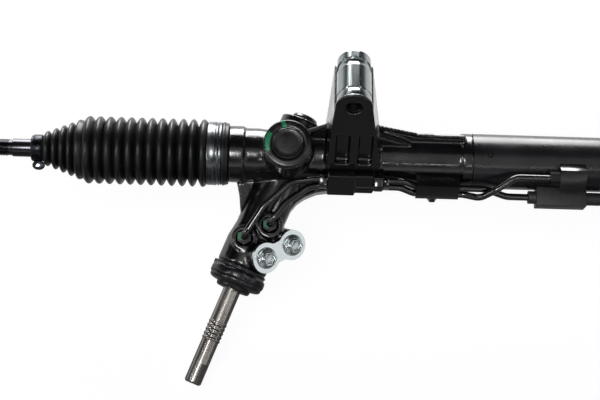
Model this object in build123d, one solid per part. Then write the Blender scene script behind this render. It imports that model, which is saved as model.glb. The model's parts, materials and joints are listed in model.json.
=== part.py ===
"""Hydraulic rack-and-pinion steering gear, in millimetres, +Z up.

The rack lies along X.  Stations along the rack are counted from the mesh point, where the pinion
meets the rack.  At export everything is moved so that the origin is the middle of the left mount bore.
"""
from build123d import *
import math
import os

# ---------------------------------------------------------------- fits and clearances
RUNNING_FIT = 0.04        # radial, shafts in bearings, seals and bushes
STATIC_GAP = 0.05         # radial, parts pressed or screwed together
LOOSE_GAP = 0.4           # rubber and sheet parts beside their seats
BACKLASH = 0.12

# ---------------------------------------------------------------- rack and mesh
RACK_R = 13.0
MODULE = 2.0
PINION_TEETH = 8
PRESSURE_ANGLE = 20.0
PROFILE_SHIFT = 0.55      # in modules, keeps eight teeth free of undercut
SHAFT_SKEW = 21.0         # pinion axis from square to the rack
YOKE_ELEVATION = 62.0     # yoke axis above the horizontal
TIP_ABOVE_PITCH = 0.9     # rack tooth height above the rolling line
ROOT_BELOW_PITCH = 3.0
PITCH_LINE = 8.6          # rolling line from the rack axis
TRAVEL = 72.0
STOP_GAP = 1.0

# ---------------------------------------------------------------- housing, along the rack
LEFT_END = -78.0
BOOT_SEAT_R = 24.6
BOOT_SEAT_END = -54.8
COLLAR_R = 26.45
COLLAR_END = -40.7
NECK_R = 24.75
NECK_END = -26.7
BARREL_R = 24.0
BARREL_BORE = 15.5
CASTING_END = 171.0
FLARE_LENGTH = 12.0
SPIGOT_LENGTH = 25.0
BUSH_WALL = 3.0
BUSH_LENGTH = 20.0
PAD_ANGLE = 62.0          # flat pad on the barrel, elevation of its face
PAD_DEPTH = 1.3
PAD_START = 86.0
PAD_WIDTH = 16.0

# ---------------------------------------------------------------- cylinder
TUBE_R = 25.5
TUBE_WALL = 2.5
TUBE_PAST_MOUNT = 22.0    # tube's end from the right mount
STAKE_X = 186.0
STAKE_ANGLE = 64.0
STAKE_R = 3.6
PISTON_SETBACK = 96.0     # piston from the bulkhead
PISTON_WIDTH = 24.0
PISTON_RING_WIDTH = 4.0
PISTON_GAP = 0.5
SEAL_WIDTH = 9.0
SEAL_WALL = 6.0
SNAP_WIRE = 1.6
NEAR_PORT_X = 261.0
FAR_PORT_SETBACK = 6.0    # port before the bulkhead
PORT_BLOCK_LENGTH = 24.0
BULKHEAD_LENGTH = 48.0
BULKHEAD_SETBACK = 4.0    # from the tube's end
RING_WALL = 4.5           # right mount casting around the tube
RIGHT_CASTING_LEAD = 24.0 # casting before the right mount
RIGHT_OVERHANG = 50.0     # casting past the right mount

# ---------------------------------------------------------------- mounts
MOUNT_X = 57.0
MOUNT_SPACING = 419.0
MOUNT_HEIGHT = 100.5
MOUNT_BORE = 7.5
SLEEVE_R = 15.25
SLEEVE_GROOVE_R = 14.2
TOWER_FRONT = -28.5
TOWER_BACK = 28.0
EAR_THICKNESS = 3.0
EAR_R = 16.6
TOWER_FOOT_HALF = 25.3
TOWER_FOOT_SHIFT = 2.6    # left tower only, toward the cylinder
TOWER_FOOT_Z = 15.0
CRADLE_DROP = 6.0         # cradle's rim below the sleeve's axis
TOWER_POCKET = (12.5, 40.0, 7.0)
TOWER_POCKET_Z = 44.0
POCKET_SPACING = 20.5
WEB_THICKNESS = 15.0
RIB_THICKNESS = 6.5       # along the barrel's back
SHAFT_WEB_THICKNESS = 18.0

# ---------------------------------------------------------------- pinion and valve, along the shaft
GEAR_HALF = 14.0
GEAR_ROOM = 2.0
PINION_HOUSING_R = 21.4
CASING_FLARE_R = 23.8      # toward the dust cap
PINION_FOOT = -38.0
VALVE_START = 46.0
VALVE_END = 98.0
VALVE_BORE = 16.0
VALVE_SLEEVE_R = 15.2
VALVE_RING_WIDTH = 2.0
HOUSING_TOP = 119.0
TOP_FLANGE_R = 22.2
JOURNAL_R = 8.5
BEARING_R = 15.0
BALL_BEARING_INNER = 6.5
BALL_BEARING_WIDTH = 9.0
BALL_BEARING_AT = -22.0
BALL_R = 2.6
BALL_COUNT = 9
PLUG_R = 16.6
PLUG_LENGTH = 7.0
PLUG_BOSS_R = 12.5
PLUG_BOSS_HEIGHT = 6.5
NUT_R = 8.5
NUT_LENGTH = 7.0
NEEDLE_LENGTH = 12.0
NEEDLE_WALL = 2.5
PINION_HEAD_R = 10.6
INPUT_CORE_R = 9.4
INPUT_R = 8.3
INPUT_TIP_R = 8.0         # past the ring grooves, where the coupling clamps
INPUT_END = 228.0
TORSION_R = 2.6
TORSION_HEAD_R = 3.5
TORSION_START = 20.0
TORSION_SETBACK = 22.0    # torsion bar's end from the shaft's
VALVE_TWIST = 3.5         # degrees each way before the stops meet
TONGUE_HALF = 4.0
TONGUE_REACH = 7.5
DUST_CAP_R = 26.2
DUST_CAP_START = 113.0
DUST_CAP_END = 134.5
CAP_WALL = 2.4
CAP_RIM = (2.0, 1.6)      # thin upper rim, height and radius below the cap's
CAP_BODY = (4.0, 16.5)    # main ring, from the cap's start
CAP_NECK_R = 16.0
RING_GROOVES = (170.0, 174.0, 178.0, 182.0)
RING_GROOVE_DEPTH = 0.5
RING_GROOVE_WIDTH = 1.6
FLAT_LENGTH = 20.0
FLAT_DEPTH = 2.0
FLAT_TURN = -55.0         # degrees, where the milled flat faces

# ---------------------------------------------------------------- yoke
YOKE_R = 13.9
YOKE_END = 33.0
LINER_WALL = 0.8
YOKE_BOSS_R = 22.6
YOKE_BOSS_TOP = 50.0
CAP_R = 14.6
CAP_BOTTOM = 38.0
CAP_TOP = 56.5
LOCKNUT_R = 21.8
LOCKNUT_HEIGHT = 5.0
SPRING_WIRE_R = 1.3
SPRING_R = 6.5
SPRING_PITCH = 4.2
SPRING_POCKET = 8.0
ORING_WIRE_R = 1.2
ORING_STATION = 27.0

# ---------------------------------------------------------------- ports and lines
LINE_R = 3.175
LINE_WALL = 0.9
LINE_BEND_R = 14.0
LINE_NUT_R = 7.0
LINE_NUT_LENGTH = 9.0
PORT_BOSS_R = 12.0
PORT_BOSS_TOP = 24.0
LOWER_PORT = (-6.6, 87.8)  # across the shaft axis, along it
UPPER_PORT = (10.4, 67.8)
PORT_DEPTH = 6.0
HOSE_FACE_TURN = 36.0     # degrees, hose ports from the yoke direction
HOSE_FACE = 30.0
HOSE_BOSS_R = 14.2
HOSE_PORTS = ((0.5, 97.7), (21.1, 75.8))
HOSE_BORE = 8.0
HOSE_BOSS_DEPTH = 18.0
PLATE_THICKNESS = 3.0
BOLT_FLANGE_R = 9.2
BOLT_HEX_AF = 11.0
BOLT_HEAD = 5.5
CLAMP_BLOCK = (37.0, 79.0)  # stations
CLAMP_BLOCK_TAIL = 10.0
CLAMP_BLOCK_STEP = 25.0
CLAMP_BLOCK_TOP = 38.0
CLAMP_BLOCK_WIDTH = 25.0
LINE_ANGLE = 6.0          # elevation of the lines' side of the barrel
FAR_AT_CLAMP = (-31.4, 5.9)     # lines as (y, z) where blocks hold them
NEAR_AT_CLAMP = (-33.0, -1.1)
FAR_AT_BRACKET = (-31.6, -1.4)
FAR_BEND = (23.5, 45.5)   # where the bends turn, past the bracket
NEAR_BEND = (4.5, 19.5, 32.0, 50.5)
NEAR_AT_BRACKET = (-33.4, -8.3)
BRACKET = (119.0, 158.5)
BRACKET_TOP = 37.0
BRACKET_WIDTH = 20.0
ISOLATOR = (231.0, 277.0)
ISOLATOR_HALF = 8.6
BRACKET_ANGLE = -4.0
PORT_BLOCK_WIDTH = 21.0
PORT_BLOCK_TOP = 37.5
NEAR_PORT_ANGLE = 26.0
FAR_PORT_ANGLE = -25.5
FAR_LINE_RADIUS = 33.0

# ---------------------------------------------------------------- tie rods and boots, left side
SOCKET_R = 17.5
SOCKET_LENGTH = 24.0      # shoulder to lip
STUD_R = 7.0
STUD_LENGTH = 22.0
BALL_JOINT_R = 12.5
SEAT_WALL = 2.7
LIP_PAST_BALL = 6.5
SEAT_PAST_BALL = 5.5
ROD_NECK_R = 6.5
ROD_NECK_LENGTH = 20.0
ROD_R = 8.4
THREAD_R = 8.0
RUN_OUT_LENGTH = 2.5      # groove behind the thread
RUN_OUT_DEPTH = 0.6
ROD_SHOULDER = 4.0
ROD_CHAMFER = 1.5
THREAD_START = -257.0
ROD_END = -360.0
BOOT_WALL = 1.6
BOOT_NECK_R = 11.7
BOOT_NECK = (-240.0, -229.0)
SMALL_CRESTS = 5
SMALL_CREST_START = 4.8    # first crest from the neck
SMALL_CREST_R = 16.5
SMALL_CREST_STEP = 2.85
SMALL_PITCH = 7.42
LARGE_CRESTS = 12
LARGE_CREST_START = 9.3    # first large crest from the last small one
LARGE_CREST_R = 31.6
LARGE_PITCH = 9.67
FOLD_DEPTH = 6.3
CUFF_R = 28.8
CUFF_START = -75.0
BAND_WIDTH = 12.5
BAND_SETBACK = 0.6        # from the cuff's edge
BAND_THICKNESS = 0.9
ROD_CLAMP_SETBACK = 7.5   # clamp's middle from the boot's end
ROD_CLAMP_WIDTH = 6.4
ROD_CLAMP_THICKNESS = 1.1
CLAMP_EAR_ANGLE = -38.0

# ---------------------------------------------------------------- directions and frames
ELEVATION = math.radians(YOKE_ELEVATION)
SKEW = math.radians(SHAFT_SKEW)
YOKE_DIR = Vector(0, -math.cos(ELEVATION), math.sin(ELEVATION))
ACROSS_DIR = Vector(0, math.sin(ELEVATION), math.cos(ELEVATION))
SHAFT_DIR = Vector(-1, 0, 0) * math.sin(SKEW) - ACROSS_DIR * math.cos(SKEW)
TOOTH_DIR = Vector(1, 0, 0) * math.cos(SKEW) - ACROSS_DIR * math.sin(SKEW)
PITCH_R = MODULE * PINION_TEETH / 2
PINION_OFFSET = PITCH_LINE + PITCH_R

RACK = Plane(origin=(0, 0, 0), x_dir=(0, 1, 0), z_dir=(1, 0, 0)).location
YOKE = Plane(origin=(0, 0, 0), x_dir=(1, 0, 0), z_dir=YOKE_DIR).location
PINION = Plane(origin=YOKE_DIR * -PINION_OFFSET, x_dir=TOOTH_DIR, z_dir=SHAFT_DIR).location
HOSES = PINION * Rot(0, 0, -HOSE_FACE_TURN)
RIGHT_MOUNT_X = MOUNT_X + MOUNT_SPACING
RIGHT_END = RIGHT_MOUNT_X + RIGHT_OVERHANG
RIGHT_CASTING_START = RIGHT_MOUNT_X - RIGHT_CASTING_LEAD
TUBE_END = RIGHT_MOUNT_X + TUBE_PAST_MOUNT
BULKHEAD_END = TUBE_END - BULKHEAD_SETBACK
BULKHEAD_START = BULKHEAD_END - BULKHEAD_LENGTH
FAR_PORT_X = BULKHEAD_START - FAR_PORT_SETBACK
PISTON_X = BULKHEAD_START - PISTON_SETBACK
TUBE_BORE = TUBE_R - TUBE_WALL
RACK_LEFT_END = LEFT_END - TRAVEL - STOP_GAP
RACK_RIGHT_END = RIGHT_END + TRAVEL + STOP_GAP
BALL_X = RACK_LEFT_END - SOCKET_LENGTH + LIP_PAST_BALL
MIRROR_X = (LEFT_END + RIGHT_END) / 2
SEAT_R = BALL_JOINT_R + RUNNING_FIT + SEAT_WALL
ROD_CLAMP_X = BOOT_NECK[0] + ROD_CLAMP_SETBACK
SMALL_CREST_X = BOOT_NECK[1] + SMALL_CREST_START
LARGE_CREST_X = SMALL_CREST_X + (SMALL_CRESTS - 1) * SMALL_PITCH + LARGE_CREST_START
NUT_START = BALL_BEARING_AT - BALL_BEARING_WIDTH / 2 - NUT_LENGTH
INPUT_TIP_START = RING_GROOVES[-1] + RING_GROOVE_WIDTH
FLAT_START = INPUT_END - FLAT_LENGTH
TORSION_END = INPUT_END - TORSION_SETBACK


# ---------------------------------------------------------------- shape helpers
def turned(place, *profile):
    """Solid of revolution about the place's Z axis, from (radius, station) points."""
    outline = Polyline(*[(radius, 0, station) for radius, station in profile], close=True)
    return place * revolve(make_face(outline), Axis.Z)


def shaft(place, radius, start, end):
    return place * Pos(0, 0, (start + end) / 2) * Cylinder(radius, end - start)


def ring(place, outer, inner, start, end):
    return shaft(place, outer, start, end) - shaft(place, inner, start, end)


def hexagon(place, across_flats, start, end):
    outline = RegularPolygon(across_flats / 2, 6, major_radius=False)
    return place * Pos(0, 0, start) * extrude(outline, end - start)


def mirrored(solid):
    """The same part at the right end of the gear."""
    return mirror(solid, Plane(origin=(MIRROR_X, 0, 0), z_dir=(1, 0, 0)))


def around_rack(angle, radius, station):
    """Point at an elevation angle on the front of the rack axis."""
    turn = math.radians(angle)
    return Vector(station, -radius * math.cos(turn), radius * math.sin(turn))


def rack_side(angle, station=0.0):
    """Frame on the rack axis: Z radially outward at the elevation angle, X along the rack."""
    return Plane(origin=(station, 0, 0), x_dir=(1, 0, 0), z_dir=around_rack(angle, 1, 0)).location


def side_block(angle, start, end, inner, outer, width, shift=0.0):
    """Box on the rack's side, between two stations and two radii."""
    box = Box(end - start, width, outer - inner)
    return rack_side(angle, (start + end) / 2) * Pos(0, shift, (inner + outer) / 2) * box


# ---------------------------------------------------------------- rack and pinion teeth
def involute(angle):
    return math.tan(angle) - angle


def pinion_tooth_points():
    """Right flank of one tooth as (x, y), tooth centre on +Y."""
    pressure = math.radians(PRESSURE_ANGLE)
    base = PITCH_R * math.cos(pressure)
    tip = pinion_tip_r()
    thickness = pitch_tooth_thickness() - BACKLASH / 2
    half_at_pitch = thickness / (2 * PITCH_R)
    points = []
    steps = 7
    for step in range(steps + 1):
        radius = base + (tip - base) * step / steps
        local = math.acos(min(1.0, base / radius))
        half = half_at_pitch + involute(pressure) - involute(local)
        points.append((radius * math.sin(half), radius * math.cos(half)))
    return points


def pitch_tooth_thickness():
    shift = 2 * PROFILE_SHIFT * MODULE * math.tan(math.radians(PRESSURE_ANGLE))
    return math.pi * MODULE / 2 + shift


def pinion_tip_r():
    return PITCH_R + ROOT_BELOW_PITCH - 0.2 * MODULE


def pinion_root_r():
    return PITCH_R - TIP_ABOVE_PITCH - 0.15 * MODULE


def pinion_gear():
    """Eight straight involute teeth on a round core."""
    right = pinion_tooth_points()
    left = [(-x, y) for x, y in reversed(right)]
    foot = (right[0][0], 0.0)
    flanks = [Line(foot, right[0]), Spline(*right), Line(right[-1], left[0])]
    flanks += [Spline(*left), Line(left[-1], (-foot[0], 0.0)), Line((-foot[0], 0.0), foot)]
    tooth = extrude(make_face(flanks), 2 * GEAR_HALF)
    gear = Pos(0, 0, GEAR_HALF) * Cylinder(pinion_root_r(), 2 * GEAR_HALF)
    for index in range(PINION_TEETH):
        gear += Rot(0, 0, 360 * index / PINION_TEETH) * tooth
    return PINION * Pos(0, 0, -GEAR_HALF) * gear


def rack_groove(index):
    """One straight tooth space, parallel to the pinion, counted from the mesh point."""
    slope = math.tan(math.radians(PRESSURE_ANGLE))
    half = (pitch_tooth_thickness() + BACKLASH / 2) / 2
    top = -(PITCH_LINE + TIP_ABOVE_PITCH + 1.0)
    bottom = -(PITCH_LINE - ROOT_BELOW_PITCH)
    wide = half + (TIP_ABOVE_PITCH + 1.0) * slope
    narrow = half - ROOT_BELOW_PITCH * slope
    outline = Polyline((-wide, top), (wide, top), (narrow, bottom), (-narrow, bottom), close=True)
    pitch = math.pi * MODULE / math.cos(SKEW)
    place = Plane(origin=(index * pitch, 0, 0), x_dir=TOOTH_DIR, z_dir=SHAFT_DIR).location
    return place * Pos(0, 0, -RACK_R * 1.5) * extrude(make_face(outline), 3 * RACK_R)


def rack_bar():
    bar = shaft(RACK, RACK_R, RACK_LEFT_END, RACK_RIGHT_END)
    toothed = 2 * (TRAVEL + GEAR_HALF)
    flat = Box(toothed, 2 * RACK_R, RACK_R)
    bar -= YOKE * Pos(0, 0, -(PITCH_LINE + TIP_ABOVE_PITCH) - RACK_R / 2) * flat
    grooves = int(toothed / 2 / (math.pi * MODULE / math.cos(SKEW)))
    bar -= [rack_groove(index) for index in range(-grooves, grooves + 1)]
    stud_room = STUD_R + STATIC_GAP
    bar -= shaft(RACK, stud_room, RACK_LEFT_END, RACK_LEFT_END + STUD_LENGTH + 1)
    bar -= shaft(RACK, stud_room, RACK_RIGHT_END - STUD_LENGTH - 1, RACK_RIGHT_END)
    for side in (-1, 1):
        groove = PISTON_X + side * (PISTON_WIDTH + SNAP_WIRE) / 2
        bar -= snap_ring_room(groove)
    return bar


def snap_ring_room(station):
    half = (SNAP_WIRE + STATIC_GAP) / 2
    return ring(RACK, RACK_R + 1, RACK_R - SNAP_WIRE / 2, station - half, station + half)


# ---------------------------------------------------------------- housing
def barrel():
    spigot_r = TUBE_BORE - STATIC_GAP
    flare = CASTING_END - FLARE_LENGTH
    return turned(
        RACK,
        (0, LEFT_END), (BOOT_SEAT_R, LEFT_END), (BOOT_SEAT_R, BOOT_SEAT_END),
        (COLLAR_R, BOOT_SEAT_END), (COLLAR_R, COLLAR_END), (NECK_R, COLLAR_END), (NECK_R, NECK_END),
        (BARREL_R, NECK_END + 6), (BARREL_R, flare), (TUBE_R, flare + 3), (TUBE_R, CASTING_END),
        (spigot_r, CASTING_END), (spigot_r, CASTING_END + SPIGOT_LENGTH),
        (0, CASTING_END + SPIGOT_LENGTH),
    )


def barrel_bores():
    bush_r = RACK_R + RUNNING_FIT + BUSH_WALL + STATIC_GAP
    seal_r = RACK_R + RUNNING_FIT + SEAL_WALL + STATIC_GAP
    spigot_end = CASTING_END + SPIGOT_LENGTH
    bores = shaft(RACK, BARREL_BORE, LEFT_END - 1, spigot_end + 1)
    bores += shaft(RACK, bush_r, LEFT_END - 1, LEFT_END + BUSH_LENGTH + 2)
    return bores + shaft(RACK, seal_r, spigot_end - SEAL_WIDTH - 3, spigot_end + 1)


def pinion_casing():
    return turned(
        PINION,
        (0, PINION_FOOT), (PINION_HOUSING_R, PINION_FOOT), (PINION_HOUSING_R, LOWER_PORT[1] - 15),
        (CASING_FLARE_R, LOWER_PORT[1]), (CASING_FLARE_R, HOUSING_TOP - 8),
        (TOP_FLANGE_R, HOUSING_TOP - 6),
        (TOP_FLANGE_R, HOUSING_TOP), (0, HOUSING_TOP),
    )


def pinion_bores():
    needle_r = JOURNAL_R + RUNNING_FIT + NEEDLE_WALL + STATIC_GAP
    gear_end = GEAR_HALF + GEAR_ROOM
    bearing_top = BALL_BEARING_AT + BALL_BEARING_WIDTH / 2
    return turned(
        PINION,
        (0, PINION_FOOT - 1), (PLUG_R + STATIC_GAP, PINION_FOOT - 1),
        (PLUG_R + STATIC_GAP, PINION_FOOT + PLUG_LENGTH + 1),
        (BEARING_R + STATIC_GAP, PINION_FOOT + PLUG_LENGTH + 1), (BEARING_R + STATIC_GAP, bearing_top),
        (pinion_tip_r() + 1.0, bearing_top), (pinion_tip_r() + 1.0, gear_end),
        (needle_r, gear_end), (needle_r, VALVE_START - SEAL_WIDTH),
        (VALVE_BORE, VALVE_START - SEAL_WIDTH), (VALVE_BORE, HOUSING_TOP + 1), (0, HOUSING_TOP + 1),
    )


def shaft_webs():
    """Gussets in the two corners between the barrel and the pinion housing."""
    right = Polyline(
        (0, 84), (21, 60), (21.4, 45), (24, 36.5), (28.5, 29.4), (37.2, 20.5), (47, 14.8), (57.7, 10.9),
        (66, 8), (66, 0), (0, 0), close=True
    )
    left = Polyline(
        (0, 70), (-21.4, 64), (-28, 51), (-36, 39), (-39.5, 34), (-40.5, 20), (0, 10), close=True
    )
    face = make_face(right) + make_face(left)
    return PINION * Pos(0, SHAFT_WEB_THICKNESS / 2, 0) * Rot(90, 0, 0) * extrude(face, SHAFT_WEB_THICKNESS)


def port_bosses():
    bosses = Part()
    for across, along in (LOWER_PORT, UPPER_PORT):
        bosses += PINION * Pos(across, 0, along) * boss_along_y(PORT_BOSS_R, 0, PORT_BOSS_TOP)
    for across, along in HOSE_PORTS:
        start = HOSE_FACE - HOSE_BOSS_DEPTH
        bosses += HOSES * Pos(across, 0, along) * boss_along_y(HOSE_BOSS_R, start, HOSE_FACE)
    return bosses + hose_bridge()


def boss_along_y(radius, start, end):
    """Cylinder along the local Y axis, which the shaft frame has toward the yoke."""
    return Rot(-90, 0, 0) * Pos(0, 0, (start + end) / 2) * Cylinder(radius, end - start)


def hose_bridge():
    """Metal that joins the two hose bosses to the housing."""
    (x1, z1), (x2, z2) = HOSE_PORTS
    length = math.hypot(x2 - x1, z2 - z1)
    turn = math.degrees(math.atan2(x2 - x1, z2 - z1))
    middle = HOSES * Pos((x1 + x2) / 2, HOSE_FACE - HOSE_BOSS_DEPTH / 2, (z1 + z2) / 2)
    return middle * Rot(0, turn, 0) * Box(HOSE_BOSS_R, HOSE_BOSS_DEPTH, length)


def port_bores():
    bores = Part()
    nut_room = LINE_NUT_R + STATIC_GAP
    for across, along in (LOWER_PORT, UPPER_PORT):
        place = PINION * Pos(across, 0, along)
        bores += place * boss_along_y(nut_room, PORT_BOSS_TOP - PORT_DEPTH, PORT_BOSS_TOP + 1)
        bores += place * boss_along_y(LINE_R - LINE_WALL, VALVE_BORE - 3, PORT_BOSS_TOP)
    for across, along in HOSE_PORTS:
        start = HOSE_FACE - HOSE_BOSS_DEPTH + 4
        bores += HOSES * Pos(across, 0, along) * boss_along_y(HOSE_BORE, start, HOSE_FACE + 1)
    return bores


def tower(station, foot_shift=0.0):
    """Mount tower: flared body, open cradle for the sleeve and a thin front ear."""
    depth = TOWER_BACK - TOWER_FRONT
    foot = TOWER_FOOT_HALF
    rim = MOUNT_HEIGHT
    outline = Polyline(
        (foot_shift - foot, TOWER_FOOT_Z), (foot_shift + foot, TOWER_FOOT_Z), (EAR_R, rim), (-EAR_R, rim),
        close=True
    )
    facing = Plane(origin=(station, TOWER_BACK, 0), x_dir=(1, 0, 0), z_dir=(0, -1, 0)).location
    body = facing * extrude(make_face(outline), depth)
    body += facing * Pos(0, rim, depth / 2) * Cylinder(EAR_R, depth)
    behind_ear = depth - EAR_THICKNESS
    above = Box(4 * EAR_R, 2 * EAR_R, behind_ear)
    body -= facing * Pos(0, rim - CRADLE_DROP + EAR_R, behind_ear / 2) * above
    body -= facing * Pos(0, rim, behind_ear / 2) * Cylinder(SLEEVE_R + STATIC_GAP, behind_ear)
    return body - facing * Pos(0, rim, depth / 2) * Cylinder(MOUNT_BORE, depth + 2)


def tower_pockets(station):
    width, height, deep = TOWER_POCKET
    pockets = Part()
    for side in (-1, 1):
        x = station + side * POCKET_SPACING / 2
        pockets += Pos(x, TOWER_FRONT + deep / 2 - 1, TOWER_POCKET_Z) * Box(width, deep + 2, height)
    return pockets


def shoulder_webs(station):
    """Gusset on the tower's right side, and a thin rib along the back of the barrel."""
    gusset = Polyline(
        (station, 18), (station, 41), (station + 20, 41), (station + 48, 30), (station + 57, 24),
        (station + 60, 18), close=True
    )
    rib = Polyline(
        (station - 50, 18), (station - 41, 30), (station - 20, 41), (station + 20, 41),
        (station + 62, 30), (CASTING_END - 8, 28.6), (CASTING_END - 8, 18), close=True
    )
    back = WEB_THICKNESS / 2
    facing = Plane(origin=(0, back, 0), x_dir=(1, 0, 0), z_dir=(0, -1, 0)).location
    webs = facing * extrude(make_face(gusset), WEB_THICKNESS)
    return webs + facing * extrude(make_face(rib), RIB_THICKNESS)


def barrel_pad():
    """Space above the flat pad on the barrel."""
    face = BARREL_R - PAD_DEPTH
    return side_block(PAD_ANGLE, PAD_START, CASTING_END - FLARE_LENGTH, face, face + 6, PAD_WIDTH)


def clamp_block_room():
    """Space round the line clamp block, which the tower's foot and the web leave free."""
    start, end = CLAMP_BLOCK
    end += CLAMP_BLOCK_TAIL
    return side_block(
        LINE_ANGLE, start - LOOSE_GAP, end + LOOSE_GAP, 0, CLAMP_BLOCK_TOP + 6, CLAMP_BLOCK_WIDTH + 1
    )


def rack_housing():
    casting = barrel() + pinion_casing() + shaft(YOKE, YOKE_BOSS_R, 0, YOKE_BOSS_TOP)
    casting += shaft_webs() - clamp_block_room()
    casting += port_bosses()
    casting += tower(MOUNT_X, TOWER_FOOT_SHIFT) - clamp_block_room()
    casting += shoulder_webs(MOUNT_X) - barrel_pad()
    casting -= tower_pockets(MOUNT_X + TOWER_FOOT_SHIFT)
    casting -= barrel_bores()
    casting -= pinion_bores()
    casting -= shaft(YOKE, YOKE_R + STATIC_GAP, 0, YOKE_BOSS_TOP)
    casting -= shaft(YOKE, CAP_R + STATIC_GAP, CAP_BOTTOM - 1, YOKE_BOSS_TOP + 1)
    cap_room = DUST_CAP_R + LOOSE_GAP
    casting -= ring(PINION, cap_room, TOP_FLANGE_R, DUST_CAP_START - LOOSE_GAP, HOUSING_TOP + 8)
    return casting - port_bores()


def mount_sleeve(station):
    """Steel sleeve with a groove near each end."""
    front = TOWER_FRONT + EAR_THICKNESS + STATIC_GAP
    axis = Plane(origin=(station, 0, MOUNT_HEIGHT), x_dir=(1, 0, 0), z_dir=(0, 1, 0)).location
    return turned(
        axis,
        (MOUNT_BORE, front), (SLEEVE_R, front), (SLEEVE_R, front + 8), (SLEEVE_GROOVE_R, front + 8),
        (SLEEVE_GROOVE_R, front + 9.5), (SLEEVE_R, front + 9.5), (SLEEVE_R, TOWER_BACK - 14),
        (SLEEVE_GROOVE_R, TOWER_BACK - 14), (SLEEVE_GROOVE_R, TOWER_BACK - 9), (SLEEVE_R, TOWER_BACK - 9),
        (SLEEVE_R, TOWER_BACK), (MOUNT_BORE, TOWER_BACK),
    )


def right_mount_housing():
    """End casting over the tube, with the second mount tower and the right boot seat."""
    ring_r = TUBE_R + STATIC_GAP + RING_WALL
    seat_start = MIRROR_X * 2 - BOOT_SEAT_END
    body = turned(
        RACK,
        (0, RIGHT_CASTING_START), (ring_r, RIGHT_CASTING_START), (ring_r, seat_start - 6),
        (COLLAR_R, seat_start - 4), (COLLAR_R, seat_start), (BOOT_SEAT_R, seat_start),
        (BOOT_SEAT_R, RIGHT_END), (0, RIGHT_END),
    )
    body += tower(RIGHT_MOUNT_X)
    body -= tower_pockets(RIGHT_MOUNT_X)
    body -= shaft(RACK, TUBE_R + STATIC_GAP, RIGHT_CASTING_START - 1, TUBE_END)
    return body - shaft(RACK, BARREL_BORE, RIGHT_CASTING_START, RIGHT_END + 1)


# ---------------------------------------------------------------- cylinder parts
def cylinder_tube():
    tube = ring(RACK, TUBE_R, TUBE_BORE, CASTING_END + STATIC_GAP, TUBE_END - STATIC_GAP)
    tube -= rack_side(STAKE_ANGLE, STAKE_X) * Pos(0, 0, TUBE_R) * Sphere(STAKE_R / 1.5)
    for angle, station in ((NEAR_PORT_ANGLE, NEAR_PORT_X), (FAR_PORT_ANGLE, FAR_PORT_X)):
        tube -= shaft(rack_side(angle, station), LINE_R - LINE_WALL, TUBE_BORE - 2, TUBE_R + 1)
    return tube


def port_block(angle, station):
    """Welded block that turns a line into the tube."""
    start = station - PORT_BLOCK_LENGTH / 2
    block = side_block(
        angle, start, start + PORT_BLOCK_LENGTH, TUBE_R - 4, PORT_BLOCK_TOP, PORT_BLOCK_WIDTH
    )
    block -= shaft(RACK, TUBE_R + STATIC_GAP, start - 1, start + PORT_BLOCK_LENGTH + 1)
    block -= shaft(rack_side(angle, station), LINE_R - LINE_WALL, TUBE_R - 4, FAR_LINE_RADIUS)
    across = around_rack(angle, FAR_LINE_RADIUS, 0)
    line_axis = Pos(0, across.Y, across.Z) * RACK
    return block - shaft(line_axis, LINE_R + STATIC_GAP, start - 1, station)


def piston():
    outer = TUBE_BORE - PISTON_GAP
    half = PISTON_WIDTH / 2
    body = ring(RACK, outer, RACK_R + STATIC_GAP, PISTON_X - half, PISTON_X + half)
    ring_half = PISTON_RING_WIDTH / 2 + STATIC_GAP
    return body - ring(RACK, outer + 1, outer - 2, PISTON_X - ring_half, PISTON_X + ring_half)


def piston_ring():
    half = PISTON_RING_WIDTH / 2
    inner = TUBE_BORE - PISTON_GAP - 2 + STATIC_GAP
    return ring(RACK, TUBE_BORE - RUNNING_FIT, inner, PISTON_X - half, PISTON_X + half)


def piston_clips():
    clips = []
    for side in (-1, 1):
        middle = PISTON_X + side * (PISTON_WIDTH + SNAP_WIRE) / 2
        inner = RACK_R - SNAP_WIRE / 2 + STATIC_GAP
        half = SNAP_WIRE / 2 - STATIC_GAP
        clips.append(ring(RACK, inner + SNAP_WIRE, inner, middle - half, middle + half))
    return Compound(children=clips)


def rack_bush():
    inner = RACK_R + RUNNING_FIT
    return ring(RACK, inner + BUSH_WALL, inner, LEFT_END + 1, LEFT_END + 1 + BUSH_LENGTH)


def rack_seal(start):
    """Lip seal: steel case face and a rubber lip toward the pressure side."""
    inner = RACK_R + RUNNING_FIT
    outer = inner + SEAL_WALL
    end = start + SEAL_WIDTH
    return turned(
        RACK,
        (inner, start), (outer, start), (outer, end), (outer - 1.5, end), (outer - 1.5, start + 3),
        (inner + 1.5, start + 3), (inner + 1.5, end - 1), (inner, end - 1),
    )


def bulkhead():
    """End plug in the tube that holds the outer rack seal."""
    outer = TUBE_BORE - STATIC_GAP
    body = ring(RACK, outer, BARREL_BORE, BULKHEAD_START, BULKHEAD_END)
    seal_r = RACK_R + RUNNING_FIT + SEAL_WALL + STATIC_GAP
    return body - shaft(RACK, seal_r, BULKHEAD_START - 1, BULKHEAD_START + SEAL_WIDTH + 1)


def outer_bush():
    inner = RACK_R + RUNNING_FIT
    return ring(RACK, BARREL_BORE - STATIC_GAP, inner, BULKHEAD_END - 16, BULKHEAD_END - 1)


def bulkhead_ring():
    """Snap ring between the bulkhead and the tube's end."""
    return ring(RACK, TUBE_BORE - STATIC_GAP, TUBE_BORE - 4, BULKHEAD_END + 0.3, BULKHEAD_END + 2.3)


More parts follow.
